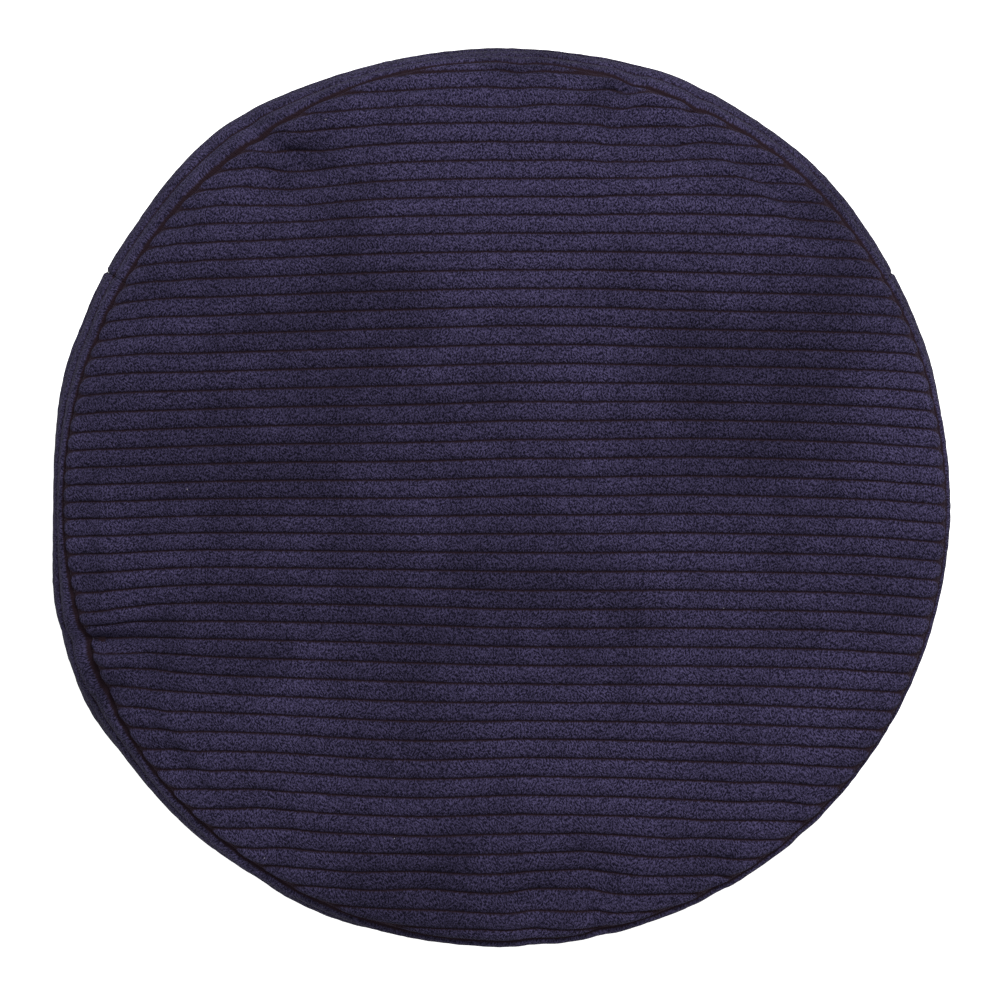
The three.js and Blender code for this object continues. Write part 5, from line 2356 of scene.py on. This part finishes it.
class Finishes:
    """The finishes of all pieces."""

    def __init__(self) -> None:
        """Builds every material."""
        effects = Effects()
        self.seat_cloth = CorduroyFinish("seat_corduroy").material(effects)
        self.band_cloth = CorduroyFinish("band_corduroy", deep=(0.0085, 0.0068, 0.0170)).material(effects)
        self.base_cloth = CorduroyFinish("base_corduroy", lint=(0.22, 0.21, 0.24), sheen=0.12).material(effects)
        self.thread = ThreadFinish("plum_thread").material(effects)
        self.lining = WovenFinish("calico_lining", (0.60, 0.57, 0.50), (0.52, 0.49, 0.42), 0.45 * MM, 0.12 * MM).material(effects)
        self.tape = WovenFinish("zip_tape", (0.020, 0.018, 0.036), (0.015, 0.013, 0.028), 0.6 * MM, 0.18 * MM).material(effects)
        self.wadding = GrainFinish("polyester_wadding", (0.62, 0.62, 0.61), (0.80, 0.80, 0.79), 6 * MM, 1.2 * MM, 0.85, 0.1).material(effects)
        self.foam = GrainFinish("grey_foam", (0.42, 0.41, 0.37), (0.58, 0.56, 0.50), 1.6 * MM, 0.5 * MM, 0.8, 0.12).material(effects)
        self.coil = GrainFinish("zip_nylon", (0.014, 0.013, 0.024), (0.026, 0.023, 0.040), 2 * MM, 0.05 * MM, 0.32, 0.15).material(effects)
        self.metal = GrainFinish(
            "gunmetal_plating", (0.055, 0.053, 0.058), (0.085, 0.082, 0.088), 1.5 * MM, 0.03 * MM, 0.24, 0.22,
            metallic=1.0, worn=(0.42, 0.40, 0.38), coat=0.15,
        ).material(effects)


# ---- Studio ---------------------------------------------------------------------------------------------


@dataclass(frozen=True)
class Studio:
    """A pale floor, soft light from the rear and a camera looking straight down.

    Attributes:
        camera_height: Height of the camera.
        view_width: Width that it sees at the height of the cushion's widest part.
        aside: How far the camera stands off the cushion's axis.
        sensor: Width of its sensor, in millimetres.
    """

    camera_height: float = 3.0
    view_width: float = 0.6667
    aside: tuple[float, float] = (0.0004, -0.0012)
    sensor: float = 36.0
    floor_size: float = 60.0
    floor_glow: float = 0.9
    floor_colour: Colour = (0.86, 0.86, 0.86)

    def build(self, sizes: CushionSizes) -> None:
        """Builds the camera, the light and the floor.

        Args:
            sizes: The cushion's sizes.
        """
        self.camera(sizes)
        self.floor()
        self.sky(0.42)
        self.area("key_light", (0.8, 2.0, 2.7), 1.5, 100.0)
        self.area("fill_light", (1.2, -1.4, 2.6), 2.4, 10.0)
        view = bpy.context.scene.view_settings
        view.view_transform = "Standard"
        view.look = "None"

    def camera(self, sizes: CushionSizes) -> None:
        """Adds the camera."""
        data = bpy.data.cameras.new("camera")
        data.sensor_width = self.sensor
        data.lens = self.sensor * (self.camera_height - sizes.middle) / self.view_width
        data.clip_start, data.clip_end = 0.01, 100
        camera = bpy.data.objects.new("camera", data)
        camera.location = (*self.aside, self.camera_height)
        bpy.context.scene.collection.objects.link(camera)
        bpy.context.scene.camera = camera

    def floor(self) -> None:
        """Adds the floor, just under the cushion."""
        bpy.ops.object.select_all(action="DESELECT")
        bpy.ops.mesh.primitive_plane_add(size=self.floor_size, location=(0, 0, -0.2 * MM))
        floor = bpy.context.active_object
        floor.name = "floor"
        bpy.ops.object.transform_apply(location=True, rotation=True, scale=True)
        material, board, shader = start_material("pale_floor")
        place = board.add("ShaderNodeTexCoord").outputs["Object"]
        mottled = board.noise(place, 60 * MM, 3)
        low = tuple(0.985 * part for part in self.floor_colour)
        board.tree.links.new(board.mix(mottled, low, self.floor_colour), shader.inputs["Base Color"])
        shader.inputs["Roughness"].default_value = 0.9
        shader.inputs["Emission Color"].default_value = (1.0, 1.0, 1.0, 1.0)
        shader.inputs["Emission Strength"].default_value = self.floor_glow
        floor.data.materials.append(material)

    def sky(self, strength: float) -> None:
        """Lights the scene evenly from all round."""
        world = bpy.data.worlds.new("studio")
        world.use_nodes = True
        background = world.node_tree.nodes["Background"]
        background.inputs["Color"].default_value = (1.0, 1.0, 1.0, 1.0)
        background.inputs["Strength"].default_value = strength
        bpy.context.scene.world = world

    def area(self, name: str, place: tuple, size: float, power: float) -> None:
        """Adds a soft square light that points at the cushion."""
        data = bpy.data.lights.new(name, "AREA")
        data.size = size
        data.energy = power
        light = bpy.data.objects.new(name, data)
        light.location = place
        light.rotation_euler = (-Vector(place)).to_track_quat("-Z", "Y").to_euler()
        bpy.context.scene.collection.objects.link(light)


def main() -> None:
    """Builds the studio, the cover, the zip and the pad."""
    logging.basicConfig(level=logging.INFO, format="%(name)s: %(message)s")
    sizes = CushionSizes.from_frame()
    Studio().build(sizes)
    form = CoverForm(sizes)
    form.settle()
    finishes = Finishes()
    Cover(form, finishes).build()
    Zip(form, finishes).build()
    Pad(form, finishes).build()


if __name__ == "__main__":
    main()
